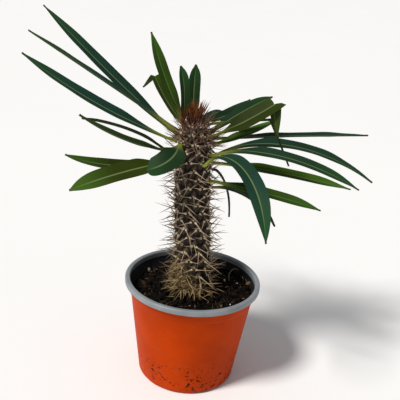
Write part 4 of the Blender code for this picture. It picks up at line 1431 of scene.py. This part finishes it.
class SoilLooks(bpy.types.PropertyGroup):
    """Counts and colours of the peat and what lies on it."""
    crumbs: IntProperty(name="Crumbs", description="Number of small loose crumbs", default=3200, min=1)
    lumps: IntProperty(name="Lumps", description="Number of larger lumps of peat", default=420, min=1)
    mound: IntProperty(name="Mound", description="Number of lumps heaped round the stem's foot",
                       default=420, min=0)
    chips: IntProperty(name="Bark bits", description="Number of flat bark bits", default=90, min=0)
    fibres: IntProperty(name="Fibres", description="Number of loose fibres", default=170, min=1)
    peat: FloatVectorProperty(name="Peat", description="Damp peat", default=(0.005, 0.0035, 0.0028), **COLOUR)
    crumb: FloatVectorProperty(name="Crumb", description="Dry crumbs",
                               default=(0.022, 0.014, 0.009), **COLOUR)
    chip_dark: FloatVectorProperty(name="Dark bark bit", description="Darkest bark bits",
                                   default=(0.030, 0.017, 0.010), **COLOUR)
    chip_light: FloatVectorProperty(name="Light bark bit", description="Lightest bark bits",
                                    default=(0.26, 0.15, 0.075), **COLOUR)
    perlite_dark: FloatVectorProperty(name="Dull perlite", description="Soiled perlite",
                                      default=(0.30, 0.28, 0.24), **COLOUR)
    perlite_light: FloatVectorProperty(name="Clean perlite", description="Clean perlite",
                                       default=(0.78, 0.76, 0.72), **COLOUR)
    stone_dark: FloatVectorProperty(name="Dark stone", description="Darkest stones",
                                    default=(0.035, 0.032, 0.024), **COLOUR)
    stone_light: FloatVectorProperty(name="Light stone", description="Lightest stones",
                                     default=(0.34, 0.29, 0.21), **COLOUR)
    fibre: FloatVectorProperty(name="Fibre", description="Foot of a fibre",
                               default=(0.15, 0.085, 0.045), **COLOUR)
    fibre_tip: FloatVectorProperty(name="Fibre tip", description="Tip of a fibre",
                                   default=(0.22, 0.14, 0.08), **COLOUR)
    root: FloatVectorProperty(name="Rootlet", description="Rootlets", default=(0.30, 0.23, 0.15), **COLOUR)


class StemLooks(bpy.types.PropertyGroup):
    """Sizes and colours of the stem and its spines."""
    columns_steps: IntProperty(name="Steps per column", description="Mesh steps across one tubercle",
                               default=24, min=6)
    row_steps: IntProperty(name="Steps per row", description="Mesh steps up one row of the net",
                           default=9, min=3)
    bark: FloatVectorProperty(name="Bark", description="Tubercle faces",
                              default=(0.036, 0.025, 0.017), **COLOUR)
    # Groove colour is painted shade in the recesses between tubercles; the fine cracks use it darker
    groove: FloatVectorProperty(name="Groove", description="Grooves", default=(0.006, 0.004, 0.003), **COLOUR)
    bloom: FloatVectorProperty(name="Bloom", description="Grey-green bloom",
                               default=(0.075, 0.068, 0.040), **COLOUR)
    streak: FloatVectorProperty(name="Streak", description="Brown streaks",
                                default=(0.080, 0.055, 0.032), **COLOUR)
    young_bark: FloatVectorProperty(name="Young bark", description="Skin near the tip",
                                    default=(0.050, 0.036, 0.024), **COLOUR)
    areole: FloatVectorProperty(name="Spine cushion", description="Cushion under the spines",
                                default=(0.14, 0.10, 0.06), **COLOUR)
    cork: FloatVectorProperty(name="Cork", description="Old corky skin at the foot",
                              default=(0.22, 0.165, 0.095), **COLOUR)
    radius: FloatProperty(name="Spine radius", description="Radius of a spine above its base", unit="LENGTH",
                          default=0.00042, min=0.0001, precision=5)
    bulb: FloatProperty(name="Spine base", description="How much wider than its shaft a spine's base is",
                        default=1.5, min=0.0)
    crown_count: IntProperty(name="Crown spines", description="Number of long spines round the top",
                             default=130, min=0)
    straw_count: IntProperty(name="Straw", description="Number of old fibres round the foot",
                             default=560, min=1)
    tuft_count: IntProperty(name="Tuft", description="Number of young bristles at the tip",
                            default=150, min=1)
    spine: FloatVectorProperty(name="Spine", description="Spine's shaft",
                               default=(0.42, 0.315, 0.22), **COLOUR)
    spine_base: FloatVectorProperty(name="Spine base colour", description="Spine's swollen base",
                                    default=(0.66, 0.56, 0.38), **COLOUR)
    spine_tip: FloatVectorProperty(name="Spine tip", description="Spine's point",
                                   default=(0.13, 0.075, 0.055), **COLOUR)
    crown_spine: FloatVectorProperty(name="Crown spine", description="Spines at the top",
                                     default=(0.14, 0.060, 0.040), **COLOUR)
    straw: FloatVectorProperty(name="Straw", description="Old fibres at the foot",
                               default=(0.50, 0.36, 0.17), **COLOUR)
    tuft: FloatVectorProperty(name="Tuft foot", description="Foot of the young tuft",
                              default=(0.10, 0.022, 0.010), **COLOUR)
    tuft_tip: FloatVectorProperty(name="Tuft tip", description="Tips of the young tuft",
                                  default=(0.36, 0.12, 0.025), **COLOUR)


class LeafLooks(bpy.types.PropertyGroup):
    """Sizes and colours of the leaves."""
    leaf_step: FloatProperty(name="Leaf step", description="Millimetres between rings along a leaf",
                             default=1.6, min=0.4)
    half_steps: IntProperty(name="Half steps", description="Mesh steps from midrib to margin",
                            default=8, min=2)
    ripple: FloatProperty(name="Ripple", description="Height of the wavy margin in millimetres",
                          default=0.22, min=0.0)
    deep: FloatVectorProperty(name="Deep green", description="Most leaves",
                              default=(0.013, 0.038, 0.010), **COLOUR)
    deep_tip: FloatVectorProperty(name="Deep green tip", description="Outer part of most leaves",
                                  default=(0.020, 0.075, 0.020), **COLOUR)
    olive: FloatVectorProperty(name="Olive", description="Yellower leaves",
                               default=(0.026, 0.040, 0.0025), **COLOUR)
    olive_tip: FloatVectorProperty(name="Olive tip", description="Outer part of the yellower leaves",
                                   default=(0.060, 0.150, 0.015), **COLOUR)
    bright: FloatVectorProperty(name="Bright green", description="Fresh leaves",
                                default=(0.038, 0.085, 0.005), **COLOUR)
    bright_tip: FloatVectorProperty(name="Bright green tip", description="Outer part of the fresh leaves",
                                    default=(0.050, 0.150, 0.015), **COLOUR)
    under: FloatVectorProperty(name="Underside", description="Lower side",
                               default=(0.040, 0.062, 0.014), **COLOUR)
    vein: FloatVectorProperty(name="Vein", description="Midrib and veins",
                              default=(0.16, 0.22, 0.085), **COLOUR)
    petiole: FloatVectorProperty(name="Petiole", description="Leaf's stalk",
                                 default=(0.26, 0.29, 0.045), **COLOUR)
    young_foot: FloatVectorProperty(name="Young foot", description="Foot of the youngest leaves",
                                    default=(0.17, 0.055, 0.012), **COLOUR)
    margin: FloatVectorProperty(name="Margin", description="Leaf's edge",
                                default=(0.045, 0.070, 0.020), **COLOUR)
    dry_tip: FloatVectorProperty(name="Dry tip", description="Very tip",
                                 default=(0.09, 0.055, 0.025), **COLOUR)
    dead: FloatVectorProperty(name="Dead leaf", description="Dried leaf",
                              default=(0.018, 0.012, 0.009), **COLOUR)
    dead_patch: FloatVectorProperty(name="Dead patch", description="Browner patches of the dried leaf",
                                    default=(0.075, 0.045, 0.022), **COLOUR)


class StageLooks(bpy.types.PropertyGroup):
    """Floor and lights."""
    floor: FloatVectorProperty(name="Floor", description="Floor", default=(0.97, 0.97, 0.97), **COLOUR)
    sky: FloatVectorProperty(name="Sky", description="Soft light all round",
                             default=(0.95, 0.97, 1.0), **COLOUR)
    sky_strength: FloatProperty(name="Sky strength", description="Strength of the soft light",
                                default=0.30, min=0.0)
    key: FloatVectorProperty(name="Key", description="Main light", default=(1.0, 0.97, 0.93), **COLOUR)
    key_strength: FloatProperty(name="Key strength", description="Strength of the main light",
                                default=3.1, min=0.0)
    key_softness: FloatProperty(name="Key softness", description="Angle of the main light in degrees",
                                default=14.0, min=0.0, max=90.0)
    key_from: FloatVectorProperty(name="Key from", description="Direction that the main light comes from",
                                  subtype="DIRECTION", size=3, default=(-0.62, -0.50, 0.95))


def add_stage(looks):
    """The floor, the lights and the camera."""
    corners = [(x * FLOOR_REACH, y * FLOOR_REACH, 0) for x, y in ((-1, -1), (1, -1), (1, 1), (-1, 1))]
    floor = add_mesh("floor", corners, [(0, 1, 2, 3)], [material("studio_floor", studio_floor, looks)])
    scene = bpy.context.scene
    scene.world = bpy.data.worlds.new("studio")
    scene.world.use_nodes = True
    sky = scene.world.node_tree.nodes["Background"].inputs
    sky["Color"].default_value, sky["Strength"].default_value = full(looks.sky), looks.sky_strength
    scene.view_settings.view_transform = "Standard"
    key = bpy.data.lights.new("key", "SUN")
    key.energy, key.angle, key.color = looks.key_strength, math.radians(looks.key_softness), looks.key
    lamp = bpy.data.objects.new("key", key)
    lamp.rotation_euler = (-Vector(looks.key_from)).to_track_quat("-Z", "Y").to_euler()
    scene.collection.objects.link(lamp)
    add_camera(scene)


def add_camera(scene):
    """Camera at the photograph's angle."""
    forward = aim(90.0, -CAMERA_FALL)
    right = aim(0.0, 0.0)
    up = np.cross(right, forward)
    forward, right = [turned(v, up, CAMERA_YAW) for v in (forward, right)]
    forward, up = [turned(v, right, CAMERA_PITCH) for v in (forward, up)]
    right, up = [turned(v, forward, CAMERA_ROLL) for v in (right, up)]
    data = bpy.data.cameras.new("camera")
    data.lens, data.clip_start = CAMERA_LENS, NEAREST
    camera = bpy.data.objects.new("camera", data)
    turn = Matrix((right, up, -forward)).transposed().to_4x4()
    camera.matrix_world = Matrix.Translation(CAMERA_PLACE) @ turn
    scene.collection.objects.link(camera)
    scene.camera = camera


# Operators

class PALM_OT_stage(bpy.types.Operator):
    """Make the floor, the lights and the camera"""
    bl_idname = "palm.stage"
    bl_label = "Stage"

    def execute(self, context):
        add_stage(context.scene.palm_stage)
        return {"FINISHED"}


class PALM_OT_pot(bpy.types.Operator):
    """Build the nursery pot"""
    bl_idname = "palm.pot"
    bl_label = "Pot"

    def execute(self, context):
        build_pot(context.scene.palm_pot)
        return {"FINISHED"}


class PALM_OT_soil(bpy.types.Operator):
    """Build the peat and what lies on it"""
    bl_idname = "palm.soil"
    bl_label = "Soil"

    def execute(self, context):
        build_soil(context.scene.palm_soil)
        return {"FINISHED"}


class PALM_OT_stem(bpy.types.Operator):
    """Build the stem's skin of tubercles"""
    bl_idname = "palm.stem"
    bl_label = "Stem"

    def execute(self, context):
        build_stem(context.scene.palm_stem)
        return {"FINISHED"}


class PALM_OT_leaves(bpy.types.Operator):
    """Build every leaf on its tubercle"""
    bl_idname = "palm.leaves"
    bl_label = "Leaves"

    def execute(self, context):
        build_leaves(context.scene.palm_leaf)
        return {"FINISHED"}


class PALM_OT_spines(bpy.types.Operator):
    """Build the spines, which stand clear of the leaves, the straw and the tuft"""
    bl_idname = "palm.spines"
    bl_label = "Spines"

    def execute(self, context):
        build_spines(context.scene.palm_stem)
        return {"FINISHED"}


class PALM_PT_panel(bpy.types.Panel):
    """Lists the steps that build the palm"""
    bl_idname = "PALM_PT_panel"
    bl_label = "Potted palm"
    bl_space_type = "VIEW_3D"
    bl_region_type = "UI"
    bl_category = "Palm"

    def draw(self, context):
        for step in STEPS:
            self.layout.operator(step.bl_idname)


STEPS = (PALM_OT_stage, PALM_OT_pot, PALM_OT_soil, PALM_OT_stem, PALM_OT_leaves, PALM_OT_spines)
GROUPS = {"palm_pot": PotLooks, "palm_soil": SoilLooks, "palm_stem": StemLooks, "palm_leaf": LeafLooks,
          "palm_stage": StageLooks}


def register():
    """Register the classes and put the settings on the scene."""
    for each in (*GROUPS.values(), *STEPS, PALM_PT_panel):
        bpy.utils.register_class(each)
    for name, group in GROUPS.items():
        setattr(bpy.types.Scene, name, PointerProperty(type=group))


def unregister():
    """Take the settings and classes away again."""
    for name in GROUPS:
        delattr(bpy.types.Scene, name)
    for each in reversed((*GROUPS.values(), *STEPS, PALM_PT_panel)):
        bpy.utils.unregister_class(each)


def main():
    """Build everything in order."""
    register()
    bpy.ops.palm.stage()
    bpy.ops.palm.pot()
    bpy.ops.palm.soil()
    bpy.ops.palm.stem()
    bpy.ops.palm.leaves()
    bpy.ops.palm.spines()


if __name__ == "__main__":
    main()
